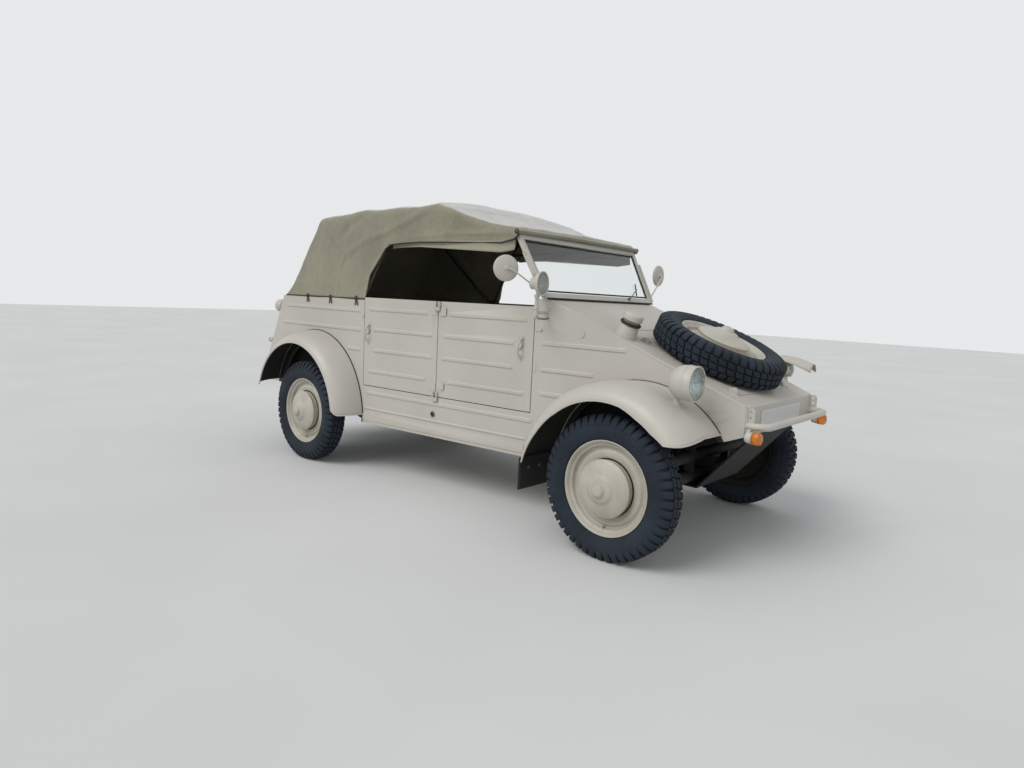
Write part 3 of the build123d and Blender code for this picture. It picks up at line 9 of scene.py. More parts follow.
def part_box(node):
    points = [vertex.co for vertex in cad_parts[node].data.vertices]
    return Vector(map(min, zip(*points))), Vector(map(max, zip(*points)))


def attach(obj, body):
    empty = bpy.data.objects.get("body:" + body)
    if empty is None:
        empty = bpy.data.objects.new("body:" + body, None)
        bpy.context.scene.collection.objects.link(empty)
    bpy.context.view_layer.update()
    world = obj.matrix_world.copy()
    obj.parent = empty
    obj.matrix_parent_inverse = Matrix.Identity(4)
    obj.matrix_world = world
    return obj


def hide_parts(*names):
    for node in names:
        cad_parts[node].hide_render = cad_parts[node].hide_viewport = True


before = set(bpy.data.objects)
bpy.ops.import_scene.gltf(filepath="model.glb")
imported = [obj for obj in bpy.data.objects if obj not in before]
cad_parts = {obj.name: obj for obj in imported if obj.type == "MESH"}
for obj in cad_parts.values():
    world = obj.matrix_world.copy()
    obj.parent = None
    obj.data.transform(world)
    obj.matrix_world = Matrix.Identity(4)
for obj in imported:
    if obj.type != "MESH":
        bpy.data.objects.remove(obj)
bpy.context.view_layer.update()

# Light open military car with a raised canvas top. Metres; +X is ahead, +Y is the car's left, Z = 0 the floor.


def middle(node):
    """Centre of a node's box."""
    low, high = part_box(node)
    return (low + high) / 2


# Places read from the frame
WHEEL_FRONT = middle("tyre_fr")
WHEEL_REAR = middle("tyre_rr")
WHEEL_RADIUS = WHEEL_FRONT.z
AXLE_F, AXLE_R = WHEEL_FRONT.x, WHEEL_REAR.x
TRACK_HALF = -WHEEL_FRONT.y
NOSE_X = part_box("nose_panel")[1].x
DOOR_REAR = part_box("door_rear_right")[0].x
TAIL_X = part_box("tail_panel")[0].x
QUARTER_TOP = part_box("tail_panel")[1].z
# Centre of the rear fender, a little behind its axle
REAR_MID = AXLE_R - 0.035

# Body's half widths at nose, door edge and tail
NOSE_HALF = 0.409
MID_HALF = 0.615
TAIL_HALF = 0.595

# Hood's outer line as (x, z), from the windscreen's foot to the nose
SCREEN_X = AXLE_F - 0.560
SCREEN_Z = 1.139
HOOD_X = (AXLE_F - 0.615, SCREEN_X, AXLE_F - 0.419, AXLE_F - 0.250, NOSE_X)
HOOD_Z = (SCREEN_Z, SCREEN_Z, 1.086, 1.013, 0.721)
SLOPE = atan2(HOOD_Z[3] - HOOD_Z[4], NOSE_X - HOOD_X[3])

# Windscreen, leaning back from its foot
SCREEN_LEAN = 0.177
SCREEN_TOP_Z = 1.457
SCREEN_HALF = 0.518
SCREEN_TOP_HALF = 0.549

# Lugs round each shoulder of a tyre, and the valve's place on the rim
SHOULDER_LUGS = 48
VALVE_ANGLE = radians(-93)


def half_width(x):
    """Half of the body's width at a station, as two straight lines in plan."""
    x = np.asarray(x, float)
    back = TAIL_HALF + (MID_HALF - TAIL_HALF) * (x - TAIL_X) / (DOOR_REAR - TAIL_X)
    ahead = MID_HALF + (NOSE_HALF - MID_HALF) * (x - DOOR_REAR) / (NOSE_X - DOOR_REAR)
    return np.where(x < DOOR_REAR, back, ahead)


# Surfaces: each function gives (points, faces), and several are joined into one piece

def grid(points, closed=False):
    """Quads over a grid of points (rows, columns, 3); when closed, each row's last point meets its first."""
    rows, columns = points.shape[:2]
    i, j = np.ogrid[:rows - 1, :columns if closed else columns - 1]
    k = (j + 1) % columns
    corners = (i * columns + j, i * columns + k, (i + 1) * columns + k, (i + 1) * columns + j)
    return points.reshape(-1, 3), np.stack(np.broadcast_arrays(*corners), -1).reshape(-1, 4)


def joined(surfaces):
    """Several surfaces as one list of points and faces."""
    points, faces, base = [], [], 0
    for found, quads in surfaces:
        points.append(found)
        faces.append(quads + base)
        base += len(found)
    return np.vstack(points), np.vstack(faces)


def mirrored(surface):
    """The same surface on the other side of the car: y changes sign and the faces turn over."""
    points, faces = surface
    return points * (1, -1, 1), faces[:, ::-1]


def on_both_sides(surfaces):
    """Surfaces of the right side and their mirror images, as one."""
    return joined(surfaces + [mirrored(surface) for surface in surfaces])


def moved(surface, matrix):
    """A surface carried by a 4x4 matrix: rotation times point, plus the shift."""
    points, faces = surface
    m = np.array(matrix, float)
    return points @ m[:3, :3].T + m[:3, 3], faces


def rounded(points, reach, steps=5):
    """Line whose corners P become parabolas (1-t)^2 A + 2t(1-t) P + t^2 B; A and B lie at reach from P."""
    p = np.asarray(points, float)
    corner = p[1:-1]
    back, ahead = p[:-2] - corner, p[2:] - corner
    long_back, long_ahead = (np.linalg.norm(line, axis=1, keepdims=True) for line in (back, ahead))
    r = np.minimum(reach, 0.48 * np.minimum(long_back, long_ahead))
    a, b = corner + back / long_back * r, corner + ahead / long_ahead * r
    t = np.linspace(0, 1, steps)[None, :, None]
    arcs = (1 - t) ** 2 * a[:, None] + 2 * t * (1 - t) * corner[:, None] + t ** 2 * b[:, None]
    return np.vstack([p[:1], arcs.reshape(-1, p.shape[1]), p[-1:]])


def across(axis):
    """An axis at unit length, and two unit vectors square to it and to each other."""
    axis = np.asarray(axis, float) / np.linalg.norm(axis)
    u = np.cross(axis, np.eye(3)[np.argmin(np.abs(axis))])
    u /= np.linalg.norm(u)
    return axis, u, np.cross(axis, u)


def revolved(profile, centre, axis=(1, 0, 0), turns=48, corner=0.0, steps=4):
    """Surface of revolution: centre + along * axis + radius * (cos t * u + sin t * v).
    The profile's (along, radius) and the reach of its rounded corners are in millimetres."""
    axis, u, v = across(axis)
    line = rounded(profile, corner, steps) if corner else np.asarray(profile, float)
    along, radius = line.T / 1000
    t = np.linspace(0, 2 * pi, turns, endpoint=False)
    ring = np.cos(t)[:, None] * u + np.sin(t)[:, None] * v
    points = np.asarray(centre, float) + along[:, None, None] * axis + radius[:, None, None] * ring[None]
    return grid(points, closed=True)


def pipe(path, radius, sides, flat=1.0, up=None):
    """Circle, or an ellipse with flat < 1, carried along a path: p + r * (cos t * u + flat * sin t * v), with
    u and v square to the path's run at p. The radius may vary, and the ends close to points."""
    p = np.asarray(path, float)
    run = np.gradient(p, axis=0)
    run /= np.linalg.norm(run, axis=1, keepdims=True)
    u = np.cross(run, np.eye(3)[np.argmin(np.abs(run).max(0))] if up is None else up)
    u /= np.linalg.norm(u, axis=1, keepdims=True)
    t = np.linspace(0, 2 * pi, sides, endpoint=False)[None, :, None]
    r = np.broadcast_to(radius, len(p))[:, None, None]
    rings = p[:, None] + r * (np.cos(t) * u[:, None] + flat * np.sin(t) * np.cross(run, u)[:, None])
    first, last = (np.repeat(p[i][None, None], sides, 1) for i in (0, -1))
    return grid(np.concatenate([first, rings, last]), closed=True)


def slab(outline, low, high, place, edge=0.0):
    """Flat plate with an (x, y) outline between two heights, its rim drawn in by edge at both faces."""
    centre = outline.mean(0)
    away = outline - centre
    shrink = 1 - edge / np.linalg.norm(away, axis=1).mean()
    levels = ((low, 0.0), (low, shrink), (low + edge, 1.0), (high - edge, 1.0), (high, shrink), (high, 0.0))
    rows = [np.column_stack([centre + away * share, np.full(len(away), z)]) for z, share in levels]
    return moved(grid(np.stack(rows), closed=True), place)


def rectangle(x0, x1, y0, y1, corner=0.002):
    """Outline of a rectangle with rounded corners."""
    mid = (x0 + x1) / 2
    return rounded([(mid, y0), (x1, y0), (x1, y1), (x0, y1), (x0, y0), (mid, y0)], corner, 4)[:-1]


def hexagon(radius, x=0.0):
    """Outline of a bolt's head: six points on a circle about (x, 0)."""
    t = np.linspace(0, 2 * pi, 6, endpoint=False)
    return np.column_stack([x + radius * np.cos(t), radius * np.sin(t)])


def basis(origin, x_dir, z_dir):
    """Matrix of a plane from its origin, X direction and normal; X loses its share along the normal."""
    z = Vector(z_dir).normalized()
    x = Vector(x_dir)
    x = (x - z * x.dot(z)).normalized()
    return Matrix.Translation(origin) @ Matrix((x, z.cross(x), z)).transposed().to_4x4()


def mesh_object(name, points, faces):
    """New object with a mesh of points and faces, in the scene."""
    mesh = bpy.data.meshes.new(name)
    mesh.from_pydata(np.asarray(points).tolist(), [], np.asarray(faces).tolist())
    made = bpy.data.objects.new(name, mesh)
    bpy.context.scene.collection.objects.link(made)
    return made


def piece(name, surface, look, body="body", replaces=(), thick=0.0, sharp=32, weld=True, inward=False,
          upward=False):
    """Object from a surface: welded, turned outwards (or inwards, or up on the whole), smooth but for its
    sharp edges, riding on a body. A sheet with a thickness grows its wall on the back."""
    made = mesh_object(name, *surface)
    mesh = made.data
    if weld:
        work = bmesh.new()
        work.from_mesh(mesh)
        bmesh.ops.remove_doubles(work, verts=work.verts, dist=1e-5)
        bmesh.ops.dissolve_degenerate(work, edges=work.edges, dist=1e-6)
        bmesh.ops.recalc_face_normals(work, faces=work.faces)
        if inward:
            bmesh.ops.reverse_faces(work, faces=work.faces)
        work.to_mesh(mesh)
        work.free()
    mesh.polygons.foreach_set("use_smooth", np.ones(len(mesh.polygons), bool))
    mesh.set_sharp_from_angle(angle=radians(sharp))
    if upward and sum(p.normal.z for p in mesh.polygons) < 0:
        mesh.flip_normals()
    if thick:
        wall = made.modifiers.new("wall", "SOLIDIFY")
        wall.thickness, wall.offset = thick, -1.0
    mesh.materials.append(look)
    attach(made, body)
    if replaces:
        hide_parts(*replaces)
    return made


# Finishes: shader groups that several materials share

DUST_TONE = (0.36, 0.31, 0.23, 1)
# Wheel arches as (station, reach), how far they go out, and the near-black tone painted inside them as shade with
# road dirt
ARCHES_AT, ARCH_HALF = ((AXLE_F, 0.455), (REAR_MID, 0.530)), 0.625
ARCH_SHADE_TONE = (0.018, 0.017, 0.015, 1)


class Nodes:
    """Adds nodes to a tree; an input is a value or another node's socket."""

    def __init__(self, tree):
        self.tree = tree
        tree.nodes.clear()

    def add(self, kind, inputs=None, **settings):
        node = self.tree.nodes.new("ShaderNode" + kind)
        for key, value in settings.items():
            setattr(node, key, value)
        for key, value in (inputs or {}).items():
            if isinstance(value, bpy.types.NodeSocket):
                self.tree.links.new(value, node.inputs[key])
            else:
                node.inputs[key].default_value = value
        return node

    def noise(self, vector, scale, detail, rough=0.55):
        return self.add("TexNoise", {"Vector": vector, "Scale": scale, "Detail": detail,
                                     "Roughness": rough}).outputs["Fac"]

    def span(self, value, low, high, out_low=0.0, out_high=1.0):
        return self.add("MapRange", {"Value": value, "From Min": low, "From Max": high, "To Min": out_low,
                                     "To Max": out_high}, interpolation_type="SMOOTHSTEP").outputs["Result"]

    def mix(self, share, a, b):
        return self.add("Mix", {0: share, 6: a, 7: b}, data_type="RGBA").outputs[2]

    def math(self, operation, a, b=0.0, c=0.0):
        return self.add("Math", {0: a, 1: b, 2: c}, operation=operation).outputs[0]

    def parts(self, vector):
        return self.add("SeparateXYZ", {0: vector}).outputs

    def use(self, effect, **inputs):
        return self.add("Group", inputs, node_tree=effect).outputs

    def bump(self, strength, height):
        return self.add("Bump", {"Strength": strength, "Distance": 0.002, "Height": height}).outputs["Normal"]

    def give(self, **results):
        """Links the group's results to its named outputs."""
        leave = self.tree.nodes.new("NodeGroupOutput")
        for key, socket in results.items():
            self.tree.links.new(socket, leave.inputs[key])
        return self.tree

    def surface(self, inputs):
        """Principled shader as the material's surface."""
        shader = self.add("BsdfPrincipled", inputs)
        self.add("OutputMaterial", {"Surface": shader.outputs["BSDF"]})


def group(name, inputs, outputs):
    """New shader group with sockets by name and kind; gives its nodes and what comes in."""
    tree = bpy.data.node_groups.new(name, "ShaderNodeTree")
    for way, sockets in (("INPUT", inputs), ("OUTPUT", outputs)):
        for label, kind in sockets.items():
            tree.interface.new_socket(label, in_out=way, socket_type="NodeSocket" + kind)
    n = Nodes(tree)
    return n, tree.nodes.new("NodeGroupInput").outputs


def make_mottle():
    """Two scales of cloudy shading: colour between two tones, and a fine grain height."""
    n, given = group("mottle", {"Vector": "Vector", "Tone": "Color", "Shade": "Color", "Broad": "Float",
                                "Grain": "Float"}, {"Color": "Color", "Height": "Float", "Cloud": "Float"})
    broad = n.noise(given["Vector"], given["Broad"], 4.0)
    small = n.noise(given["Vector"], given["Grain"], 2.0)
    share = n.span(n.math("MULTIPLY_ADD", broad, 0.7, n.math("MULTIPLY", small, 0.3)), 0.32, 0.68)
    return n.give(Color=n.mix(share, given["Shade"], given["Tone"]), Height=small, Cloud=share)


def make_dust_and_top_light():
    """Dust that gathers low on the car, and a tone on faces turned up that is dust on most finishes and painted
    sky light on the canvas: colour with both laid over it.
    """
    n, given = group("dust", {"Vector": "Vector", "Color": "Color", "Dust": "Color", "Reach": "Float",
                              "Amount": "Float", "Top": "Float"}, {"Color": "Color", "Mask": "Float"})
    patch = n.noise(given["Vector"], 9.0, 6.0, 0.65)
    height = n.math("ADD", n.parts(given["Vector"])["Z"], n.math("MULTIPLY", patch, 0.35))
    facing = n.parts(n.add("NewGeometry").outputs["Normal"])["Z"]
    top = n.math("MULTIPLY", n.span(facing, 0.66, 0.98), n.span(patch, 0.25, 0.75, 0.72, 1.0))
    mask = n.math("MAXIMUM", n.math("MULTIPLY", n.span(height, given["Reach"], 0.12), given["Amount"]),
                  n.math("MULTIPLY", top, given["Top"]))
    return n.give(Color=n.mix(mask, given["Color"], given["Dust"]), Mask=mask)


def make_wear():
    """Rubbed edges: bare where the rounded normal leaves the face's normal, broken up by noise."""
    n, given = group("wear", {"Vector": "Vector", "Color": "Color", "Bare": "Color", "Amount": "Float"},
                     {"Color": "Color"})
    soft, flat = (n.add(*kind).outputs["Normal"] for kind in (("Bevel", {"Radius": 0.004}), ("NewGeometry",)))
    match = n.add("VectorMath", {0: soft, 1: flat}, operation="DOT_PRODUCT").outputs["Value"]
    broken = n.span(n.noise(given["Vector"], 38.0, 6.0, 0.7), 0.47, 0.62)
    mask = n.math("MULTIPLY", n.math("MULTIPLY", n.span(match, 0.995, 0.93), broken), given["Amount"])
    return n.give(Color=n.mix(mask, given["Color"], given["Bare"]))


def make_weave():
    """Plain weave from two crossed waves along U and V, as a height from 0 to 1."""
    n, given = group("weave", {"Vector": "Vector", "Threads": "Float"}, {"Height": "Float"})
    place = n.parts(given["Vector"])
    waves = [n.math("SINE", n.math("MULTIPLY", n.math("MULTIPLY", place[label], given["Threads"]), 2 * pi))
             for label in "XY"]
    return n.give(Height=n.math("MULTIPLY_ADD", n.math("MULTIPLY", *waves), 0.5, 0.5))


def make_arch_shade():
    """Painted shade with road dirt inside the wheel arches: one within a reach of each arch's cross line, behind
    the fenders.
    """
    n, given = group("arches", {"Vector": "Vector"}, {"Mask": "Float"})
    place = n.parts(given["Vector"])
    masks = []
    for x, reach in ARCHES_AT:
        ahead, above = n.math("SUBTRACT", place["X"], x), n.math("SUBTRACT", place["Z"], WHEEL_RADIUS)
        away = n.math("SQRT", n.math("ADD", n.math("MULTIPLY", ahead, ahead), n.math("MULTIPLY", above, above)))
        masks.append(n.span(away, reach, reach - 0.005))
    inside = n.math("LESS_THAN", n.math("ABSOLUTE", place["Y"]), ARCH_HALF)
    return n.give(Mask=n.math("MULTIPLY", n.math("MAXIMUM", *masks), inside))


MOTTLE, DUST_AND_TOP_LIGHT, WEAR, WEAVE, ARCH_SHADE = make_mottle(), make_dust_and_top_light(), make_wear(), make_weave(), make_arch_shade()


def new_material(name):
    """Empty material, its nodes and the object coordinates."""
    made = bpy.data.materials.new(name)
    made.use_nodes = True
    n = Nodes(made.node_tree)
    return made, n, n.add("TexCoord").outputs["Object"]


def finish(name, tone, shade, rough=0.6, broad=2.5, grain=160.0, bump=0.15, dust=0.3, reach=0.75, wear=0.0,
           bare=(0.6, 0.57, 0.49), metallic=0.0, sheen=0.0, weave=0.0, threads=500.0, uv=False,
           dust_and_top_light_tone=DUST_TONE, top=0.0, arches=False):
    """Opaque finish: two tones in clouds, low dust, a tone on faces turned up that is dust on most finishes and
    painted sky light on the canvas, painted shade with road dirt in the wheel arches where asked, rubbed edges,
    and a grain or weave in the bump.
    """
    made, n, place = new_material(name)
    mottle = n.use(MOTTLE, Vector=place, Tone=(*tone, 1), Shade=(*shade, 1), Broad=broad, Grain=grain)
    colour, height = mottle["Color"], mottle["Height"]
    if wear:
        colour = n.use(WEAR, Vector=place, Color=colour, Bare=(*bare, 1), Amount=wear)["Color"]
    dusted_and_lit = n.use(DUST_AND_TOP_LIGHT, Vector=place, Color=colour, Dust=dust_and_top_light_tone, Reach=reach, Amount=dust,
                  Top=top or 0.2 * dust)
    colour = dusted_and_lit["Color"]
    # Sand paint darkened inside the wheel arches: painted shade with road dirt
    if arches:
        colour = n.mix(n.use(ARCH_SHADE, Vector=place)["Mask"], colour, ARCH_SHADE_TONE)
    if weave:
        across_cloth = n.add("UVMap", uv_map="cloth").outputs["UV"] if uv else place
        cloth = n.use(WEAVE, Vector=across_cloth, Threads=threads)["Height"]
        height = n.math("ADD", n.math("MULTIPLY", cloth, weave), n.math("MULTIPLY", height, 1 - weave))
    roughness = n.math("ADD", n.math("MULTIPLY", dusted_and_lit["Mask"], 0.9 - rough),
                       n.span(mottle["Cloud"], 0.0, 1.0, rough + 0.05, rough - 0.05))
    n.surface({"Base Color": colour, "Roughness": roughness, "Metallic": metallic, "Sheen Weight": sheen,
               "Normal": n.bump(bump, height)})
    return made


def clear(name, tone, rough=0.02, flutes=0.0, pitch=0.0, transmission=1.0):
    """Glass or clear plastic; flutes are upright ribs at a pitch across the car."""
    made, n, place = new_material(name)
    smear = n.span(n.noise(place, 6.0, 5.0), 0.35, 0.8, rough, rough + 0.06)
    inputs = {"Base Color": (*tone, 1), "Roughness": smear, "IOR": 1.45, "Transmission Weight": transmission}
    if flutes:
        wave = n.math("SINE", n.math("MULTIPLY", n.parts(place)["Y"], 2 * pi / pitch))
        inputs["Normal"] = n.bump(flutes, wave)
    n.surface(inputs)
    return made


PAINT = dict(tone=(0.500, 0.474, 0.420), shade=(0.450, 0.426, 0.374), bump=0.06, wear=0.35)
paint = finish("sand_paint", rough=0.46, arches=True, **PAINT)
fender_paint = finish("fender_paint", rough=0.44, **PAINT)
wheel_paint = finish("wheel_paint", (0.490, 0.462, 0.400), (0.40, 0.375, 0.32), rough=0.48, broad=9.0,
                     bump=0.06, dust=0.40, wear=0.5, bare=(0.58, 0.55, 0.47))
# Top frame's bows near black: painted shade of the dark cabin
frame_shade_paint = finish("frame_shade_paint", (0.055, 0.051, 0.042), (0.036, 0.033, 0.028), rough=0.7, dust=0.2)
# Dashboard, bench base, seat frames and column: a darker copy of the sand paint, painted shade of the cabin
cabin_shade_paint = finish("cabin_shade_paint", (0.30, 0.28, 0.23), (0.24, 0.22, 0.18), dust=0.4, wear=0.2,
                     bare=(0.7, 0.66, 0.56))
# Canvas: its pale tone on faces turned up is painted light from the sky on the roof, not dust
canvas_cloth = finish("canvas", (0.275, 0.255, 0.175), (0.205, 0.192, 0.135), rough=0.92, broad=3.2, grain=55.0,
                      bump=0.55, dust=0.12, sheen=0.25, weave=0.5, threads=420.0, uv=True,
                      dust_and_top_light_tone=(0.61, 0.605, 0.575, 1), top=1.0)
binding = finish("binding", (0.030, 0.028, 0.024), (0.018, 0.017, 0.015), rough=0.7)
flap_cloth = finish("flap_cloth", (0.330, 0.305, 0.225), (0.26, 0.24, 0.175), rough=0.9, grain=80.0, bump=0.4,
                    dust=0.1, sheen=0.2)
leather = finish("strap_leather", (0.11, 0.055, 0.028), (0.06, 0.032, 0.018), rough=0.65, grain=220.0, bump=0.4)
# Tyre rubber: the blue in its tones and its dust is a painted reflection of the sky
sky_tinted_rubber = finish("tyre_rubber_sky_tinted", (0.012, 0.021, 0.034), (0.006, 0.011, 0.018), rough=0.85, broad=6.0, grain=240.0,
                bump=0.3, dust=0.15, reach=0.40, dust_and_top_light_tone=(0.040, 0.048, 0.054, 1), top=0.35)
black_rubber = finish("black_rubber", (0.016, 0.016, 0.016), (0.010, 0.010, 0.010), rough=0.7, dust=0.35,
                      reach=0.5, bump=0.3, dust_and_top_light_tone=(0.09, 0.08, 0.06, 1))
seat_cloth = finish("seat_cloth", (0.20, 0.165, 0.11), (0.14, 0.115, 0.075), rough=0.9, grain=90.0, bump=0.6,
                    dust=0.1, sheen=0.3, weave=0.6, threads=330.0)
underside = finish("underside", (0.035, 0.033, 0.028), (0.018, 0.017, 0.015), rough=0.75, grain=60.0, bump=0.4,
                   dust=0.4, reach=0.7, dust_and_top_light_tone=(0.09, 0.078, 0.060, 1))
# Near-black finish of the wheel boxes, the fenders' undersides and the wheels' backs: painted shade with road dirt
arch_shade_and_dirt = finish("arch_shade_and_dirt", (0.022, 0.021, 0.018), (0.012, 0.011, 0.010), rough=0.9, grain=60.0, bump=0.4,
                   dust=0.25, dust_and_top_light_tone=(0.07, 0.06, 0.045, 1))
# Skid plate: olive tone darkened to near black as painted shade under the nose
olive_shaded = finish("olive_plate_shaded", (0.016, 0.017, 0.012), (0.009, 0.010, 0.007), rough=0.8, dust=0.1, wear=0.4,
               bare=(0.11, 0.105, 0.085), dust_and_top_light_tone=(0.035, 0.033, 0.025, 1))
steel = finish("plain_steel", (0.30, 0.28, 0.25), (0.16, 0.14, 0.12), rough=0.42, metallic=1.0, dust=0.2)
heated = finish("heated_steel", (0.16, 0.11, 0.075), (0.085, 0.06, 0.045), rough=0.7, metallic=0.6, grain=70.0,
                bump=0.5, dust=0.5)
bright = finish("bright_metal", (0.80, 0.80, 0.80), (0.66, 0.66, 0.66), rough=0.16, metallic=1.0, dust=0.05)
silver = finish("silver_plastic", (0.55, 0.54, 0.50), (0.44, 0.43, 0.40), rough=0.5)
bakelite = finish("black_grip", (0.018, 0.017, 0.016), (0.011, 0.010, 0.010), rough=0.35, dust=0.1)
rusty = finish("rusty_cream", (0.36, 0.30, 0.20), (0.24, 0.17, 0.10), broad=24.0, dust=0.2)
blank = finish("blank_plate", (0.60, 0.60, 0.57), (0.55, 0.55, 0.52), rough=0.4, dust=0.25)
glass = clear("clear_glass", (0.93, 0.96, 0.95))
lamp_glass = clear("lamp_glass", (0.88, 0.95, 0.93), flutes=0.35, pitch=0.009)
amber = clear("amber_lens", (0.95, 0.30, 0.03), rough=0.12, flutes=0.2, pitch=0.006, transmission=0.55)
red = clear("red_lens", (0.55, 0.02, 0.01), rough=0.12, transmission=0.5)

# CAD nodes that stay, by finish
KEPT = {
    paint: ["side_left", "side_right", "door_front_left", "door_front_right", "door_rear_left",
            "door_rear_right", "hood", "luggage_lid", "nose_panel", "tail_panel", "engine_lid",
            "windscreen_frame", "front_bumper", "rear_bumper", "floor_pan"],
    # Wheel boxes: painted shade with road dirt
    arch_shade_and_dirt: ["front_box", "rear_tub"],
    # Top frame: painted shade of the dark cabin
    frame_shade_paint: ["top_frame"],
    cabin_shade_paint: ["dashboard", "bench_base", "seat_frames", "steering_column"],
    olive_shaded: ["skid_plate"],
    underside: ["front_axle", "rear_axle", "knuckle_left", "knuckle_right", "engine_block"],
    heated: ["exhaust"],
    glass: ["windscreen_glass"],
    bakelite: ["steering_wheel"],
    blank: ["number_plate"],
}
EDGE, EDGE_ANGLE = 0.0016, radians(38)


def dress_kept_nodes():
    """CAD nodes in their finishes; modifiers join their triangles and round their edges."""
    for look, nodes in KEPT.items():
        for node in nodes:
            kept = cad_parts[node]
            kept.data.materials.clear()
            kept.data.materials.append(look)
            kept.modifiers.new("weld", "WELD").merge_threshold = 2e-5
            if look != glass:
                bevel = kept.modifiers.new("edges", "BEVEL")
                bevel.width, bevel.segments, bevel.angle_limit = EDGE, 2, EDGE_ANGLE
                bevel.limit_method, bevel.harden_normals = "ANGLE", False


# Wheels: profiles as (outboard or across, radius) in millimetres

HUB, AXLE_LINE = (0, 0, 0), (0, 1, 0)
BACK_FACE = 0.0115
WHEEL_PROFILE = [(118, 0), (117.8, 12), (115, 22.5), (109, 29.5), (101, 33), (98.5, 36), (96.5, 44), (93.5, 53),
                 (89, 60), (85.2, 64), (82, 73), (76.5, 95), (68.5, 114), (61, 127.5), (57.5, 131.2),
                 (53.5, 131), (47, 125), (26, 123), (19, 127), (22.5, 142.5), (24, 156), (22.5, 165.5),
                 (15, 172.5), (13, 176.5), (13.5, 181.3), (17, 184.3), (30, 187.2), (33, 189.2), (34, 194.6),
                 (38.5, 199.5), (45, 203), (50, 207.3), (52.8, 211.7), (52.5, 214.6), (49.2, 215),
                 (47.5, 211.7), (45.5, 207.8), (42, 205.4), (36, 204), (31, 203.5)]
RIM_BACK = [(-out, radius) for out, radius in WHEEL_PROFILE[:-11:-1]]
RIM_BACK += [(-44, 202), (-38, 194), (-10, 185), (5, 180)]
DISC_BACK = [(5.5, 0)]
DRUM = [(5.5, 116), (-44, 114.5), (-44.8, 112), (-44.8, 18.5), (29, 18), (30, 0)]
# Dark ring in the gap round each hubcap: painted shade
CAP_GAP_SHADE = [(20.5, 124.5), (24, 125.5), (24, 131), (21.5, 132.2)]
CARCASS = [(30, 204.5), (40, 207.5), (44, 210.5), (45.8, 214), (48, 216.5), (52, 219.5), (56.5, 222.5),
           (59.5, 230), (65, 245), (68.8, 262), (68.2, 276), (64.2, 288.5), (58.5, 298), (51.5, 306),
           (43, 312.5), (30, 316.5), (0, 318)]
SHOULDER_LUG = [(31, 313), (33, 327.7), (44, 327), (51, 323), (57.2, 315.5),
                (64, 300.5), (69.2, 282), (66, 279), (58, 296)]
CENTRE_BLOCK = [(3, 316), (3.5, 327.8), (26.5, 327.8), (28, 316)]


def wheel_surface(back):
    """Rim, dished disc, hubcap and what is behind the disc, as one profile turned about the axle."""
    return revolved(WHEEL_PROFILE + RIM_BACK + back, HUB, AXLE_LINE, 88, 2.2, 2)


def valve_surface():
    """Tyre valve through the rim's gutter: a tapering pipe on a straight line from root to tip."""
    root, tip = (np.array((0.180 * cos(VALVE_ANGLE), out, r * sin(VALVE_ANGLE)))
                 for out, r in ((0.012, 0.180), (0.040, 0.176)))
    path = root + np.linspace(0, 1, 5)[:, None] * (tip - root)
    return pipe(path, [0.0045, 0.0045, 0.0038, 0.0038, 0.003], 10)


def carcass_surface():
    """Tyre's carcass under the lugs: sidewall with a bead line, round shoulders and a nearly flat crown."""
    line = CARCASS + [(-out, radius) for out, radius in CARCASS[-2::-1]]
    return revolved(line, HUB, AXLE_LINE, 96, 4, 2)


def lugs_surface(section, angles, half_angle, lean, side):
    """Lugs of one row: a closed (across, radius) section carried through a short angle about the axle.
    The angle leans with the distance across, and both ends are drawn in for a worn edge."""
    closed = np.array(section + section[:1]) * (side, 1)
    outline = rounded(closed, 1.5, 2)[:-1] / 1000
    centre = outline.mean(0)
    share = np.array([0.0, 0.9, 1.0, 1.0, 0.9, 0.0])
    steps = np.array([-1.0, -1.0, -0.88, 0.88, 1.0, 1.0]) * half_angle
    sections = centre + (outline - centre)[None] * share[:, None, None]
    y, r = sections[..., 0], sections[..., 1]
    t = angles[:, None, None] + steps[None, :, None] + side * lean * (np.abs(y) - 0.03)[None]
    points = np.stack([r[None] * np.cos(t), np.broadcast_to(y[None], t.shape), r[None] * np.sin(t)], -1)
    return joined([grid(block, closed=True) for block in points])


def tread_surface():
    """Shoulder lugs and staggered centre blocks of both halves of the tread."""
    pitch = 2 * pi / SHOULDER_LUGS
    angles = np.arange(SHOULDER_LUGS) * pitch
    return joined([lugs_surface(SHOULDER_LUG, angles, pitch * 0.34, 0.15, 1),
                   lugs_surface(SHOULDER_LUG, angles + pitch / 2, pitch * 0.34, -0.15, -1),
                   lugs_surface(CENTRE_BLOCK, angles + pitch * 0.25, pitch * 0.40, 1.2, 1),
                   lugs_surface(CENTRE_BLOCK, angles - pitch * 0.25, pitch * 0.40, 1.2, -1)])


def shade_and_dirt_back(wheel, side):
    """Second finish, painted shade with road dirt, on the wheel's faces inboard of BACK_FACE, measured out from
    the middle of the track.
    """
    faces = wheel.data.polygons
    centres = np.zeros(len(faces) * 3)
    faces.foreach_get("center", centres)
    wheel.data.materials.append(arch_shade_and_dirt)
    faces.foreach_set("material_index", (side * centres[1::3] - TRACK_HALF < BACK_FACE).astype(np.int32))


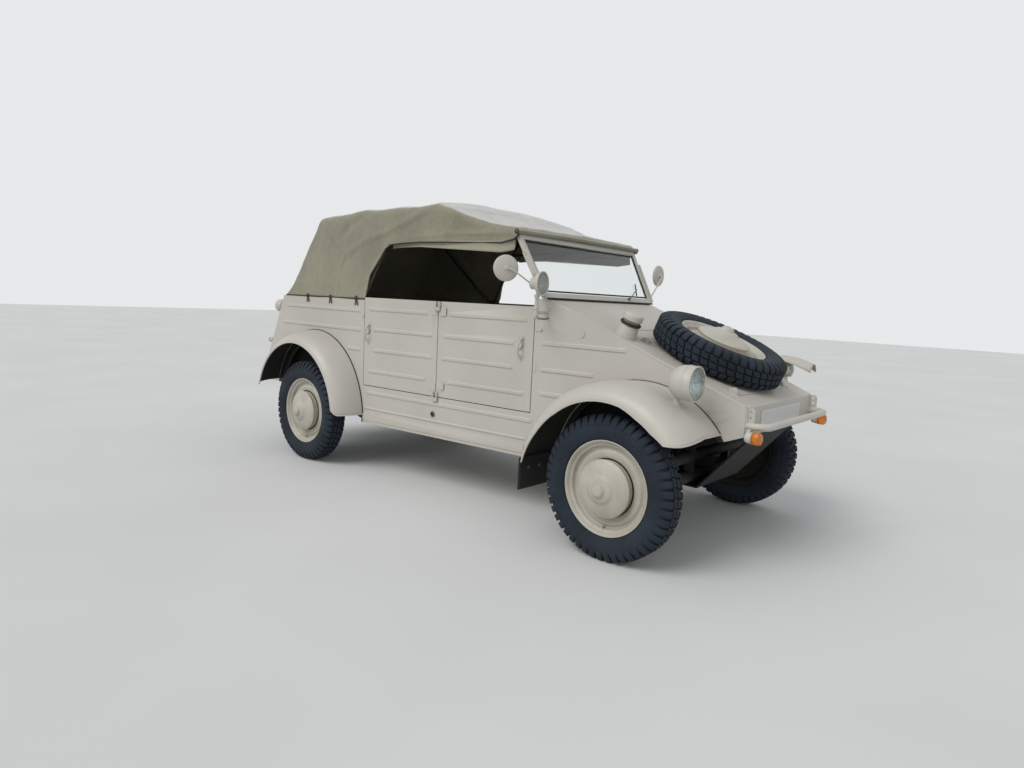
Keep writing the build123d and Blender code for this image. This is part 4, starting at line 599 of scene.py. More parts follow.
def make_wheels():
    """Four running wheels, and the spare lying on the hood with its hubcap up: a wheel piece and a tyre piece."""
    tyre = joined([carcass_surface(), tread_surface()])
    running = joined([wheel_surface(DRUM), valve_surface()])
    gap = revolved(CAP_GAP_SHADE, HUB, AXLE_LINE, 72)
    for end, x in (("f", AXLE_F), ("r", AXLE_R)):
        for side, mark in ((1, "l"), (-1, "r")):
            body = "wheel_" + end + mark
            place = Matrix.Translation((x, side * TRACK_HALF, WHEEL_RADIUS)) @ Matrix.Diagonal((1, side, 1, 1))
            wheel = piece("wheel_dressed_" + end + mark, moved(running, place), wheel_paint, body, [body])
            shade_and_dirt_back(wheel, side)
            # Dark ring: painted shade in the gap round the hubcap
            piece("hubcap_shade_ring_" + end + mark, moved(gap, place), black_rubber, body)
            piece("tyre_dressed_" + end + mark, moved(tyre, place), sky_tinted_rubber, body, ["tyre_" + end + mark])
    place = basis(middle("spare_tyre"), (0, 1, 0), (cos(SLOPE), 0, -sin(SLOPE)))
    lying = joined([wheel_surface(DISC_BACK), valve_surface()])
    piece("spare_wheel_dressed", moved(lying, place), wheel_paint, "luggage_lid", ["spare_wheel"])
    piece("spare_tyre_dressed", moved(tyre, place), sky_tinted_rubber, "luggage_lid", ["spare_tyre"])


# Fenders: (distance from the car's middle, radius about the fender's centre)

FRONT_SECTION = [(0.360, 0.452), (0.520, 0.464), (0.640, 0.470), (0.715, 0.464), (0.765, 0.447),
                 (0.7905, 0.420), (0.7975, 0.391)]
REAR_SECTION = [(0.540, 0.538), (0.640, 0.532), (0.710, 0.519), (0.758, 0.500), (0.788, 0.475), (0.7975, 0.450)]
# Lower edge of the front fender's tip: distance from the car's middle and height
CUT_Y, CUT_Z = (0.300, 0.430, 0.600, 0.700, 0.765, 0.820), (0.591, 0.595, 0.601, 0.592, 0.584, 0.576)
# How far its lip leaves the plain arc round the wheel, by the angle about the axle
LIP_ANGLE = (20, 36, 43, 50, 64, 77, 128, 150, 174)
LIP_SHIFT = (0.014, 0.010, 0, -0.010, -0.010, 0, 0, 0.012, 0.038)
LIP_FROM = 0.447
# Degrees by which the rear fender's front foot is rounded off towards the lip
CORNER_TURN = 5.0
FENDER_THICK = 0.003
# Points of its grid round the wheel and across
FENDER_ALONG, FENDER_ACROSS = 96, 44


def fender_grid(section, centre_x, rear_angle, front_angle, cut=False):
    """Fender's sheet: the section's curve, from the body's side to the lip, turned about a cross line.
    With a cut, each line round the wheel ends where it comes down to the height of the tip's lower edge,
    and radii under LIP_FROM are stretched towards the shifted lip."""
    curve = rounded(np.array(section), 0.05, 6)
    length = np.r_[0, np.cumsum(np.linalg.norm(np.diff(curve, axis=0), axis=1))]
    start = np.interp(half_width(centre_x), curve[:, 0], length)
    v = np.linspace(0, 1, FENDER_ACROSS)[None, :]
    u = np.linspace(0, 1, FENDER_ALONG)[:, None]
    first = np.full((FENDER_ALONG, 1), start)
    for _ in range(4):
        s = first + (length[-1] - first) * v
        y, r = np.interp(s, length, curve[:, 0]), np.interp(s, length, curve[:, 1])
        end = np.radians(front_angle + CORNER_TURN * np.clip((v - 0.72) / 0.28, 0, 1) ** 2.5)
        if cut:
            end = np.arcsin((np.interp(y, CUT_Y, CUT_Z) - WHEEL_RADIUS) / r)
        angle = radians(rear_angle) + (end - radians(rear_angle)) * u
        x = centre_x + r * np.cos(angle)
        first = np.interp(half_width(x[:, :1]) - 0.001, curve[:, 0], length)
    if cut:
        shift = np.interp(np.degrees(angle), LIP_ANGLE, LIP_SHIFT)
        r = r + shift * np.clip((LIP_FROM - r) / (LIP_FROM - section[-1][1]), 0, 1)
        x = centre_x + r * np.cos(angle)
    return np.stack([x, -y, WHEEL_RADIUS + r * np.sin(angle)], -1)


def fender_pieces(name, points):
    """Right and left fender. The lip is a pipe along the sheet's outer edge and round its front end, and the
    dark seam bead is one along its inner edge."""
    edge = np.vstack([points[:, -1] + (0, 0.0035, 0), points[-1, -2::-1]])
    surfaces = grid(points), pipe(edge, 0.0040, 8), pipe(points[:, 0] + (0, -0.004, 0), 0.0036, 8)
    for side, (sheet, lip, seam) in (("right", surfaces), ("left", [mirrored(s) for s in surfaces])):
        up = piece(f"{name}_fender_{side}", sheet, fender_paint, thick=FENDER_THICK, upward=True)
        # Underside wall of the fender: painted shade with road dirt
        up.data.materials.append(arch_shade_and_dirt)
        up.modifiers["wall"].material_offset = 1
        piece(f"{name}_fender_lip_{side}", lip, fender_paint)
        piece(f"{name}_fender_seam_{side}", seam, black_rubber)
    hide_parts(name + "_fenders")


def make_fenders():
    """Fenders as sections turned from their rear angle to their front one, in degrees about their centres."""
    fender_pieces("front", fender_grid(FRONT_SECTION, AXLE_F, 174, 20, True))
    fender_pieces("rear", fender_grid(REAR_SECTION, REAR_MID, 164, 4))


# Canvas top: station, shoulder's half width, shoulder's height, crown's height
HOOPS = np.array([(-1.595, 0.560, 1.572, 1.610), (-1.195, 0.568, 1.618, 1.655), (-0.680, 0.597, 1.649, 1.682),
                  (-0.400, 0.594, 1.643, 1.676), (-0.030, 0.588, 1.654, 1.688), (0.080, 0.585, 1.628, 1.659),
                  (0.574, 0.566, 1.500, 1.509), (0.596, 0.566, 1.474, 1.481)])
BOWS = (-1.195, -0.690, -0.374, 0.000, 0.590)
BACK_X, BACK_Z = (-1.550, -1.190, -1.030), (1.0833, 1.640, 1.860)
OPENING_X = (-2.0, -0.606, -0.572, -0.440, -0.408, -0.290, -0.144, 0.360, 0.463, 0.555, 0.588, 0.70)
OPENING_Z = (1.0833, 1.0833, 1.235, 1.392, 1.410, 1.419, 1.424, 1.415, 1.413, 1.428, 1.450, 1.457)
SHOULDER_REACH = 0.062
# Roll at the front edge: its middle at the sides, and half its length
ROLL_X, ROLL_Z, ROLL_HALF = 0.5855, 1.4690, 0.570
# Points up a side, round a shoulder and over half the roof
TOP_SIDE, TOP_BEND, TOP_ROOF = 30, 9, 26
# Sag between the front bows, between the others, and of the rear panel
SAG_FRONT, SAG, SAG_BACK = 0.024, 0.011, 0.012
CANVAS_THICK = 0.003
# Creases in the sides as (from x, z, to x, z, width, rise)
CREASES = [(-1.139, 1.557, -0.862, 1.350, 0.012, 0.010), (-0.862, 1.350, -0.666, 1.437, 0.013, 0.010),
           (-0.666, 1.437, -0.438, 1.490, 0.016, 0.009), (-0.438, 1.490, -0.075, 1.613, 0.022, 0.009),
           (-0.862, 1.350, -0.909, 1.259, 0.012, 0.007), (-0.909, 1.259, -0.925, 1.121, 0.014, 0.004),
           (-0.654, 1.610, -0.839, 1.535, 0.034, -0.012), (-0.839, 1.535, -0.935, 1.476, 0.034, -0.009),
           (-0.560, 1.600, -0.500, 1.330, 0.018, 0.004), (-1.300, 1.330, -1.180, 1.120, 0.022, 0.004),
           (-0.075, 1.560, -0.070, 1.440, 0.020, 0.004), (0.100, 1.600, 0.300, 1.500, 0.022, 0.006),
           (0.050, 1.470, 0.554, 1.462, 0.016, 0.008), (-0.250, 1.455, 0.050, 1.462, 0.016, 0.005)]
# Upright seam in the sides: station, width and rise
SEAM_X, SEAM_WIDTH, SEAM_RISE = -0.250, 0.006, 0.0016
STRAPS = (-1.255, -0.980, -0.690)


def soft_min(a, b, width):
    """Smaller of two heights, rounded where they cross: half of (a + b - sqrt((a - b)^2 + width^2))."""
    return 0.5 * (a + b - np.sqrt((a - b) ** 2 + width ** 2))


def ripples(points, seed, count, wave):
    """Sum of sine waves in seeded directions, from about -1 to 1."""
    draw = np.random.default_rng(seed)
    directions = draw.normal(size=(count, 3))
    directions /= np.linalg.norm(directions, axis=1, keepdims=True)
    lengths = wave * draw.uniform(0.5, 1.8, count)
    phases = draw.uniform(0, 2 * pi, count)
    return np.sin(points @ (directions / lengths[:, None] * 2 * pi).T + phases).sum(-1) / np.sqrt(count) / 1.4


def canvas_points():
    """Half sections along the car: a straight side, a parabola round the shoulder, and a roof that falls from
    the crown with the square of y. The rear panel is the same sheet, because shoulder and crown there are
    the smaller of the hoops' height and the back's slope."""
    x = np.r_[np.linspace(BACK_X[0], -1.150, 44), np.linspace(-1.150, -0.62, 44)[1:],
              np.linspace(-0.62, 0.596, 110)[1:]]
    half, shoulder, crown = (np.interp(x, HOOPS[:, 0], HOOPS[:, i]) for i in (1, 2, 3))
    back = np.interp(x, BACK_X, BACK_Z)
    low = np.interp(x, OPENING_X, OPENING_Z)
    shoulder = np.maximum(soft_min(shoulder, back, 0.010), low + 0.0005)
    crown = np.maximum(soft_min(crown, back + 0.003, 0.010), shoulder)
    foot = half_width(x) + 0.002
    rise = np.clip((low - QUARTER_TOP) / (shoulder - QUARTER_TOP + 1e-6), 0, 1)
    low_y = foot + (half - foot) * rise
    top_y = foot + (half - foot) * np.clip((shoulder - QUARTER_TOP) / 0.5, 0, 1)
    reach = np.minimum(SHOULDER_REACH, 0.6 * (shoulder - low))

    def roof(y):
        return shoulder[:, None] + (crown - shoulder)[:, None] * (1 - (y / top_y[:, None]) ** 2)

    t = np.linspace(0, 1, TOP_SIDE)[None]
    side_y = low_y[:, None] + (top_y - low_y)[:, None] * t * (1 - (reach / (shoulder - low + 1e-6)))[:, None]
    side_z = low[:, None] + (shoulder - low - reach)[:, None] * t
    t = np.linspace(0, 1, TOP_BEND + 2)[None, 1:-1]
    a_y, a_z = side_y[:, -1:], side_z[:, -1:]
    b_y = (top_y - reach)[:, None]
    b_z = roof(b_y)
    bend_y = (1 - t) ** 2 * a_y + 2 * t * (1 - t) * top_y[:, None] + t ** 2 * b_y
    bend_z = (1 - t) ** 2 * a_z + 2 * t * (1 - t) * shoulder[:, None] + t ** 2 * b_z
    roof_y = b_y * np.linspace(1, 0, TOP_ROOF)[None]
    roof_z = roof(roof_y)
    y, z = np.hstack([side_y, bend_y, roof_y]), np.hstack([side_z, bend_z, roof_z])
    right = np.stack([np.broadcast_to(x[:, None], y.shape), -y, z], -1)
    left = (right * (1, -1, 1))[:, ::-1][:, 1:]
    return np.concatenate([right, left], 1)


def surface_normals(points):
    """Normals of a grid from the cross product of its two gradients, turned away from the car's middle."""
    n = np.cross(np.gradient(points, axis=1), np.gradient(points, axis=0))
    n /= np.linalg.norm(n, axis=2, keepdims=True) + 1e-12
    middle_line = np.stack([points[..., 0].clip(-1.1, 0.4), points[..., 1] * 0, points[..., 2] * 0 + 1.2], -1)
    return n * np.sign((n * (points - middle_line)).sum(-1, keepdims=True))


def wrinkled(points):
    """Canvas moved along its normals: in by a squared sine between two hoops and by small ripples, and out by
    a bell curve of the distance from each crease's line. Only the crests stand a little proud of the hull."""
    x, z = points[..., 0], points[..., 2]
    n = surface_normals(points)
    sag = np.zeros_like(x)
    for a, b in zip(BOWS, BOWS[1:]):
        sag += np.where((x > a) & (x < b), np.sin(pi * (x - a) / (b - a)) ** 2, 0) * (SAG_FRONT if b > 0 else SAG)
    upright = np.clip(np.abs(n[..., 1]), 0, 1)
    back = np.sin(pi * np.clip((z - 1.10) / 0.46, 0, 1)) ** 2 * (1 - upright)
    depth = sag * (1 - 0.65 * upright) + np.where(x < BOWS[0], SAG_BACK * back, 0)
    crest = SEAM_RISE * np.exp(-((x - SEAM_X) / SEAM_WIDTH) ** 2) * (z > 1.4)
    for x0, z0, x1, z1, width, rise in CREASES:
        run = np.array((x1 - x0, z1 - z0))
        t = np.clip(((x - x0) * run[0] + (z - z0) * run[1]) / (run @ run), 0, 1)
        away = np.hypot(x - x0 - t * run[0], z - z0 - t * run[1])
        crest += rise * np.exp(-(away / width) ** 2) * (0.5 + 0.5 * np.sin(pi * np.clip(t, 0.08, 1.0)))
    slack = 0.0085 + 0.0035 * ripples(points, 3, 7, 0.33) + 0.0016 * ripples(points, 11, 9, 0.10)
    hem = np.clip((z - np.interp(x, OPENING_X, OPENING_Z)) / 0.05, 0, 1)
    inward = (depth + slack * (0.25 + 0.75 * hem) - crest * hem).clip(-0.008, None)
    return points - n * inward[..., None]


def with_uv(made, points):
    """UV map named cloth in metres: distance round the section and distance along the car."""
    rows, columns = points.shape[:2]
    steps = np.linalg.norm(np.diff(points, axis=1), axis=2)
    u = np.concatenate([np.zeros((rows, 1)), np.cumsum(steps, 1)], 1)
    u -= u[:, columns // 2][:, None]
    v = np.r_[0, np.cumsum(np.linalg.norm(np.diff(points[:, columns // 2], axis=0), axis=1))]
    mesh = made.data
    layer = mesh.uv_layers.new(name="cloth")
    corners = np.zeros(len(mesh.loops), int)
    mesh.loops.foreach_get("vertex_index", corners)
    flat = np.stack([u, np.broadcast_to(v[:, None], u.shape)], -1).reshape(-1, 2)
    layer.data.foreach_set("uv", flat[corners].astype(np.float32).ravel())
    return float(u.max() - u.min()), float(v[-1])


def make_canvas():
    """Canvas sheet, and pipes along its edges: the dark binding, the pale rear edge of the side openings, whose
    paler cloth is a painted highlight on the hem, and the roll over the windscreen, which falls from its middle
    with the square of y."""
    points = wrinkled(canvas_points())
    sheet = piece("canvas_sheet", grid(points), canvas_cloth, replaces=["canvas_top"], weld=False, sharp=60,
                  upward=True)
    wide, long = with_uv(sheet, points)
    wall = sheet.modifiers.new("cloth", "SOLIDIFY")
    wall.thickness, wall.offset = CANVAS_THICK, -1.0
    hems, pale = [], []
    for column, away in ((0, -1), (-1, 1)):
        line = points[:, column] + (0, away * 0.001, 0.003)
        rear, front = line[:, 0] < OPENING_X[1] + 0.004, line[:, 0] > OPENING_X[4]
        hems += [pipe(line[rear], 0.0042, 8), pipe(line[front], 0.0042, 8)]
        pale.append(pipe(line[~rear & ~front] - (0.003, 0, 0), 0.0062, 10))
    hem = piece("canvas_binding", joined(hems), binding)
    # Rear edge of the openings in paler cloth: a raised hem with a painted highlight
    edge = piece("canvas_rear_edge", joined(pale), flap_cloth)
    y = np.linspace(-ROLL_HALF, ROLL_HALF, 41)
    path = np.column_stack([0 * y + ROLL_X, y, ROLL_Z + 0.005 * (1 - (y / ROLL_HALF) ** 2)])
    roll = piece("canvas_front_roll", pipe(path, 0.0125, 14, up=(1, 0, 0)), canvas_cloth)
    roll.data.uv_layers.new(name="cloth")
    cap = revolved([(0, 0), (0, 13.5), (3, 13.5), (3, 9), (1, 8), (1, 0)],
                   (ROLL_X, 0.001 - ROLL_HALF, ROLL_Z), (0, -1, 0), 24)
    piece("canvas_roll_ends", on_both_sides([cap]), binding)


def make_canvas_fittings():
    """Header board's face under the roll, near black as painted shade beneath it, straps with buckles as pipes on
    rounded lines, and flaps inside the side openings that hang from the openings' line by a drop that grows ahead."""
    board = slab(rectangle(-0.526, 0.526, 0, 0.032, 0.004), 0, 0.0025,
                 basis((SCREEN_X - SCREEN_LEAN + 0.0015, 0, SCREEN_TOP_Z + 0.0006), (0, 1, 0), (1, 0, 0)), 0.001)
    # Near-black face: painted shade of the gap under the canvas roll
    piece("header_shade_strip", board, binding)
    u = np.linspace(-0.390, 0.556, 50)[:, None]
    v = np.linspace(0, 1, 6)[None]
    top = np.interp(u, OPENING_X, OPENING_Z) + 0.012
    drop = np.interp(u, (-0.390, -0.150, 0.556), (0.028, 0.034, 0.062))
    y = np.interp(u, HOOPS[:, 0], HOOPS[:, 1]) - 0.016 - 0.006 * np.sin(pi * v)
    flap = grid(np.stack([u + 0 * v, -y + 0 * v, top - drop * v], -1))
    for side, surface in (("right", flap), ("left", mirrored(flap))):
        piece("side_flap_" + side, surface, flap_cloth, thick=0.002)
    tongues, rings = [], []
    for x in STRAPS:
        y = -float(half_width(x)) - 0.004
        for lean in (0.016, -0.012):
            path = rounded([(x, y + 0.002, 1.104), (x, y - 0.002, 1.084), (x + lean * 0.6, y - 0.001, 1.066),
                            (x + lean, y, 1.046)], 0.01, 5)
            tongues.append(pipe(path, 0.0055, 8, flat=0.22, up=(0, 1, 0)))
        ring = [(x + away, y - 0.003, z) for away, z in ((0, 1.098), (0.010, 1.098), (0.010, 1.078),
                                                         (-0.010, 1.078), (-0.010, 1.098), (0, 1.098))]
        rings.append(pipe(rounded(ring, 0.004, 4), 0.0022, 6, up=(0, 1, 0)))
    piece("strap_tongues", on_both_sides(tongues), leather)
    piece("strap_buckles", on_both_sides(rings), binding)


# Seats: size of the remesh, most that the cloth may swell, and for how many frames
VOXEL, SWELL_CAP, SWELL_FRAMES = 0.009, 0.016, 20
# Squareness of a cushion, its gap to the CAD's block, and the depth of its seams
CORNER_POWER, INSET, SEAM_DEPTH = 0.28, 0.006, 0.006


def cushion_surface(low, high, lean):
    """Rounded block: a unit sphere's directions raised to a low power, so that the sides are nearly flat."""
    u = np.linspace(-pi / 2, pi / 2, 30)[:, None]
    v = np.linspace(-pi, pi, 60, endpoint=False)[None]
    cu, su, cv, sv = (np.sign(f) * np.abs(f) ** CORNER_POWER for f in (np.cos(u), np.sin(u), np.cos(v), np.sin(v)))
    unit = np.stack([cu * cv, cu * sv, su * np.ones_like(v)], -1)
    points = (low + high) / 2 + unit * (high - low) / 2
    points[..., 0] -= lean * (points[..., 2] - low[2])
    return grid(points, closed=True)


def puffed(name, surface):
    """Cloth swollen by inner pressure: the surface is remeshed and blown up, and no point
    moves further than the cap."""
    scene = bpy.context.scene
    raw = mesh_object(name + "_raw", *surface)
    remesh = raw.modifiers.new("remesh", "REMESH")
    remesh.mode, remesh.voxel_size = "VOXEL", VOXEL
    graph = bpy.context.evaluated_depsgraph_get()
    raw.data = bpy.data.meshes.new_from_object(raw.evaluated_get(graph))
    raw.modifiers.clear()
    rest = np.zeros(len(raw.data.vertices) * 3)
    found = np.zeros_like(rest)
    raw.data.vertices.foreach_get("co", rest)
    rest = rest.reshape(-1, 3)
    settings = raw.modifiers.new("cloth", "CLOTH").settings
    settings.quality, settings.use_pressure, settings.uniform_pressure_force = 5, True, 4.0
    settings.tension_stiffness = settings.compression_stiffness = 15.0
    settings.effector_weights.gravity = 0.0
    for number in range(1, SWELL_FRAMES + 1):
        scene.frame_set(number)
    graph = bpy.context.evaluated_depsgraph_get()
    swollen = bpy.data.meshes.new_from_object(raw.evaluated_get(graph))
    swollen.vertices.foreach_get("co", found)
    move = found.reshape(-1, 3) - rest
    size = np.linalg.norm(move, axis=1, keepdims=True)
    rest = rest + move * np.minimum(1, SWELL_CAP / (size + 1e-9))
    bpy.data.meshes.remove(swollen)
    scene.frame_set(1)
    quads = np.zeros(len(raw.data.loops), int)
    raw.data.loops.foreach_get("vertex_index", quads)
    bpy.data.objects.remove(raw)
    return rest, quads.reshape(-1, 4)


def pleated(points, count, out_axis):
    """Sewn channels: at each of count seams across the cushion, its outer face is drawn in."""
    line, out = points[:, 1], points[:, out_axis]
    seams = np.linspace(line.min(), line.max(), count + 2)[1:-1]
    away = np.abs(line[:, None] - seams[None]).min(1)
    sewn = points.copy()
    sewn[:, out_axis] -= SEAM_DEPTH * np.exp(-(away / 0.007) ** 2) * np.exp(-((out.max() - out) / 0.03) ** 2)
    return sewn


def make_pad(name, low, high, lean, seams, out_axis, node, pair=False):
    """Cushion or backrest: puffed, with sewn channels."""
    shape = cushion_surface(np.array(low) + INSET, np.array(high) - INSET, lean)
    points, faces = puffed(name, shape)
    surface = pleated(points, seams, out_axis), faces
    pads = {name: surface, name + "_left": mirrored(surface)} if pair else {name: surface}
    for label, padded in pads.items():
        pad = piece(label, padded, seat_cloth, sharp=80)
        smooth = pad.modifiers.new("smooth", "SUBSURF")
        smooth.levels = smooth.render_levels = 1
        if label == name:
            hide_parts(node)


def make_seats():
    """Front cushions and backrests, and the rear bench with its backrest."""
    make_pad("front_cushion", (0.139, -0.478, 0.504), (0.528, -0.087, 0.591), 0.0, 4, 2, "front_seats", True)
    make_pad("front_backrest", (0.060, -0.478, 0.508), (0.134, -0.087, 1.011), 0.176, 4, 0, "front_seats", True)
    make_pad("rear_cushion", (-0.535, -0.468, 0.464), (-0.117, 0.468, 0.571), 0.0, 9, 2, "rear_seat")
    make_pad("rear_backrest", (-0.6125, -0.468, 0.468), (-0.542, 0.468, 1.001), 0.0, 9, 0, "rear_seat")


# Lamps, mirrors and small fittings: profiles as (along, radius) in millimetres

UP = (0, 0, 1)
LAMP_AT = (AXLE_F + 0.329, -0.600, 0.819)
DRIVING_AT = (AXLE_F + 0.281, 0.600, 0.819)
TAIL_FOOT, TAIL_SLOPE = 0.593, 0.242 / 0.490
# Inner edge of a mudflap
FLAP_INNER = 0.520


def make_headlamp():
    """Round headlamp on the right fender, turned about X: its bucket's dome is a quarter of an ellipse, and its
    ribbed glass falls from the middle with the square of the radius."""
    x, y, z = LAMP_AT
    t = np.linspace(0, 1, 15)
    dome = np.column_stack([-122.5 + 81.5 * (1 - np.cos(t * pi / 2)), 75.8 * np.sin(t * pi / 2)])
    band = rounded([(-5, 73.8), (-4.5, 75.2), (0, 76), (3, 75.8), (4.2, 74), (4, 70), (2, 69)], 1, 3)
    bucket = revolved(np.vstack([dome, [(-22, 75.5), (-6, 74)], band]), LAMP_AT, turns=72)
    ring = revolved([(-36, 74), (-35.5, 76.8), (-33, 77.8), (-30.5, 76.8), (-30, 74)], LAMP_AT, turns=72)
    bowl = revolved([(2, 69), (-10, 62), (-28, 46), (-40, 24), (-44, 0)], LAMP_AT, corner=8)
    t = np.linspace(0, 1, 12)
    lens = np.column_stack([10.5 - 8.5 * t ** 2, 69.5 * t])
    lens = np.vstack([lens, [(-1, 69)], (lens - (3, 0))[::-1][1:]])
    foot = revolved([(-56, 0), (-56, 30), (-46, 26), (-30, 15), (0, 14), (20, 0)],
                    (x - 0.086, y, z - 0.062), UP, 32, 4)
    piece("headlamp", joined([bucket, ring]), paint, replaces=["front_lamps"], sharp=40)
    piece("headlamp_foot", foot, paint)
    piece("headlamp_bowl", bowl, bright, inward=True)
    piece("headlamp_glass", revolved(lens, LAMP_AT, turns=72), lamp_glass, replaces=["lamp_glass"])


def make_driving_lamp():
    """Small lamp on the left fender, turned about X, under a long sheet hood. The hood falls with the square of
    the way ahead, and across with the square and the sixth power, so that its edges turn down."""
    x, y, z = DRIVING_AT
    case = revolved([(-50, 0), (-46, 22), (-30, 36), (8, 36), (10, 34), (6, 31), (0, 0)], DRIVING_AT, corner=6)
    u, v = np.linspace(0, 1, 22)[:, None], np.linspace(-1, 1, 21)[None]
    drop = 0.012 * v ** 2 + 0.010 * np.abs(v) ** 6
    visor = np.stack([x - 0.045 + 0.168 * u + 0 * v, y + 0.062 * (1 - 0.30 * u ** 4) * v,
                      z + 0.078 - 0.034 * u ** 2 - drop * (1 + u)], -1)
    rim = np.vstack([visor[:, 0], visor[-1, 1:-1], visor[::-1, -1]])
    neck = pipe([(x - 0.018, y, z + 0.03), (x - 0.018, y, z + 0.072)], 0.010, 12)
    foot = revolved([(-62, 0), (-62, 26), (-50, 20), (-20, 12), (0, 12), (10, 0)],
                    (x - 0.020, y, z - 0.030), UP, 32, 4)
    lens = revolved([(18, 0), (16.5, 18), (10, 34), (4, 34), (12, 16), (14, 0)], DRIVING_AT, corner=4)
    piece("driving_lamp", joined([case, neck, foot]), paint)
    piece("driving_lamp_hood", grid(visor), paint, thick=0.002, upward=True)
    piece("driving_lamp_hood_rim", pipe(rim, 0.0022, 8), paint)
    piece("driving_lamp_glass", lens, lamp_glass)


def make_mirrors():
    """Round mirrors: a domed back, boss and face turned about each mirror's axis, and a thin stalk as a pipe
    with a rounded knee from the windscreen's post."""
    for side, mark, x, y, z, axis in ((-1, "right", SCREEN_X - 0.140, 0.660, 1.280, (0.86, -0.50, 0.0)),
                                      (1, "left", SCREEN_X - 0.045, 0.668, 1.319, (1, 0, 0))):
        at = (x, side * y, z)
        back = revolved([(12.5, 0), (12, 12), (10, 30), (5, 55), (0.5, 64),
                         (-4.5, 65.8), (-7.5, 64), (-7.8, 60), (-7, 0)],
                        at, axis, 64, 3)
        boss = revolved([(10, 13.5), (17, 12.5), (20, 9), (20, 0)], at, axis, 24, 2, 3)
        foot = (SCREEN_X - 0.012, side * (SCREEN_HALF - 0.002), SCREEN_Z + 0.026)
        knee = (x + 0.034, side * (y - 0.012), z - 0.006)
        stalk = pipe(rounded([(x + 0.012, side * y, z), knee, foot], 0.02, 6), 0.0042, 10)
        ball = revolved([(-10, 0), (-7, 7), (0, 10), (7, 7), (10, 0)], foot, UP, 16)
        piece("mirror_" + mark, joined([back, boss, stalk, ball]), paint, replaces=["mirrors"] if side < 0 else ())
        face = revolved([(-7.9, 0), (-7.9, 58.5), (-7.2, 59)], at, axis, 64)
        piece("mirror_face_" + mark, face, bright)


def make_searchlight():
    """Searchlight: slim bucket with a flared rim and a glass that falls with the square of the radius, turned
    about its axis, on a collared post with an arm, plate and lever, which are pipes and a slab."""
    x, y, z = SCREEN_X, -SCREEN_HALF - 0.062, SCREEN_Z + 0.072
    at, ahead, scale = (x + 0.036, y + 0.001, z), (0.985, 0.17, 0.0), 0.96
    dome = rounded([(-70, 0), (-70, 25.5), (-66, 30), (-42, 30.5), (-34, 37), (-24, 50), (-18, 57)], 4, 4)
    rim = rounded([(-18, 60), (-6, 60.5), (-5, 63), (-1, 63), (0, 60),
                   (-3, 56), (-22, 40), (-34, 18), (-36, 0)], 2, 3)
    t = np.linspace(0, 1, 10)
    lens = np.column_stack([-0.5 - 2.5 * t ** 2, 57 * t])
    lens = np.vstack([lens, (lens - (2, 0))[::-1]])
    neck = pipe(rounded([(x + 0.004, y, z - 0.050), (x, y, z - 0.070), (x, y, z - 0.095)], 0.01), 0.0085, 14)
    post = pipe([(x, y, z - 0.085), (x, y, z - 0.165)], 0.0098, 16)
    collars = [revolved([(-8, 0), (-8, 13.5), (8, 13.5), (8, 0)], (x, y, z - h), UP, 20)
               for h in (0.062, 0.118, 0.150)]
    lever = pipe(rounded([(x, y, z - 0.156), (x + 0.012, y - 0.002, z - 0.170), (x + 0.060, y - 0.006, z - 0.171),
                          (x + 0.088, y - 0.009, z - 0.166)], 0.012, 6), 0.0050, 10)
    inner = -float(half_width(x))
    arm = pipe([(x, y, z - 0.142), (x, inner - 0.001, z - 0.142)], 0.0070, 14)
    plate = slab(rectangle(-0.013, 0.013, z - 0.163, z - 0.121, 0.010), 0, 0.0035,
                 basis((x, inner + 0.001, 0), (1, 0, 0), (0, -1, 0)), 0.001)
    piece("searchlight_bucket", revolved(np.vstack([dome, rim]) * scale, at, ahead, 64), paint,
          replaces=["searchlight"], sharp=40)
    piece("searchlight_bowl_glass", revolved(lens * scale, at, ahead, 64), lamp_glass)
    piece("searchlight_post", joined([neck, post, arm, plate] + collars), paint)
    piece("searchlight_lever", lever, steel)


def make_filler():
    """Fuel filler, turned about the hood's normal: cone neck, black ring, rusty collar and cap with a rim."""
    x = AXLE_F - 0.170
    at, up = (x, -0.370, float(np.interp(x, HOOD_X, HOOD_Z))), (sin(SLOPE), 0, cos(SLOPE))
    parts = (("neck", 3, 4, paint, [(-30, 55.2), (-6, 55.2), (6, 53.5), (58, 44.5), (62, 40), (62, 0)]),
             ("ring", 3, 4, black_rubber, [(60, 43), (61.5, 50.5), (66.5, 52.5), (72, 50.5), (74.5, 43)]),
             ("collar", 1, 3, rusty, [(66, 0), (66, 40.5), (82, 40.5), (83.5, 45.5), (87, 45.5), (87, 0)]),
             ("cap", 3, 4, paint, [(86, 0), (86, 47.8), (90, 48), (104, 47.8), (112, 47), (118, 40.5),
                                   (120, 30), (122.5, 12), (123, 0)]))
    for label, corner, steps, look, profile in parts:
        piece("filler_" + label, revolved(profile, at, up, 64, corner, steps), look,
              replaces=["fuel_filler"] if label == "neck" else ())


def tail_x(z):
    """Station of the tail's outer face at a height, as it leans ahead from its foot."""
    return TAIL_X + (z - TAIL_FOOT) * TAIL_SLOPE


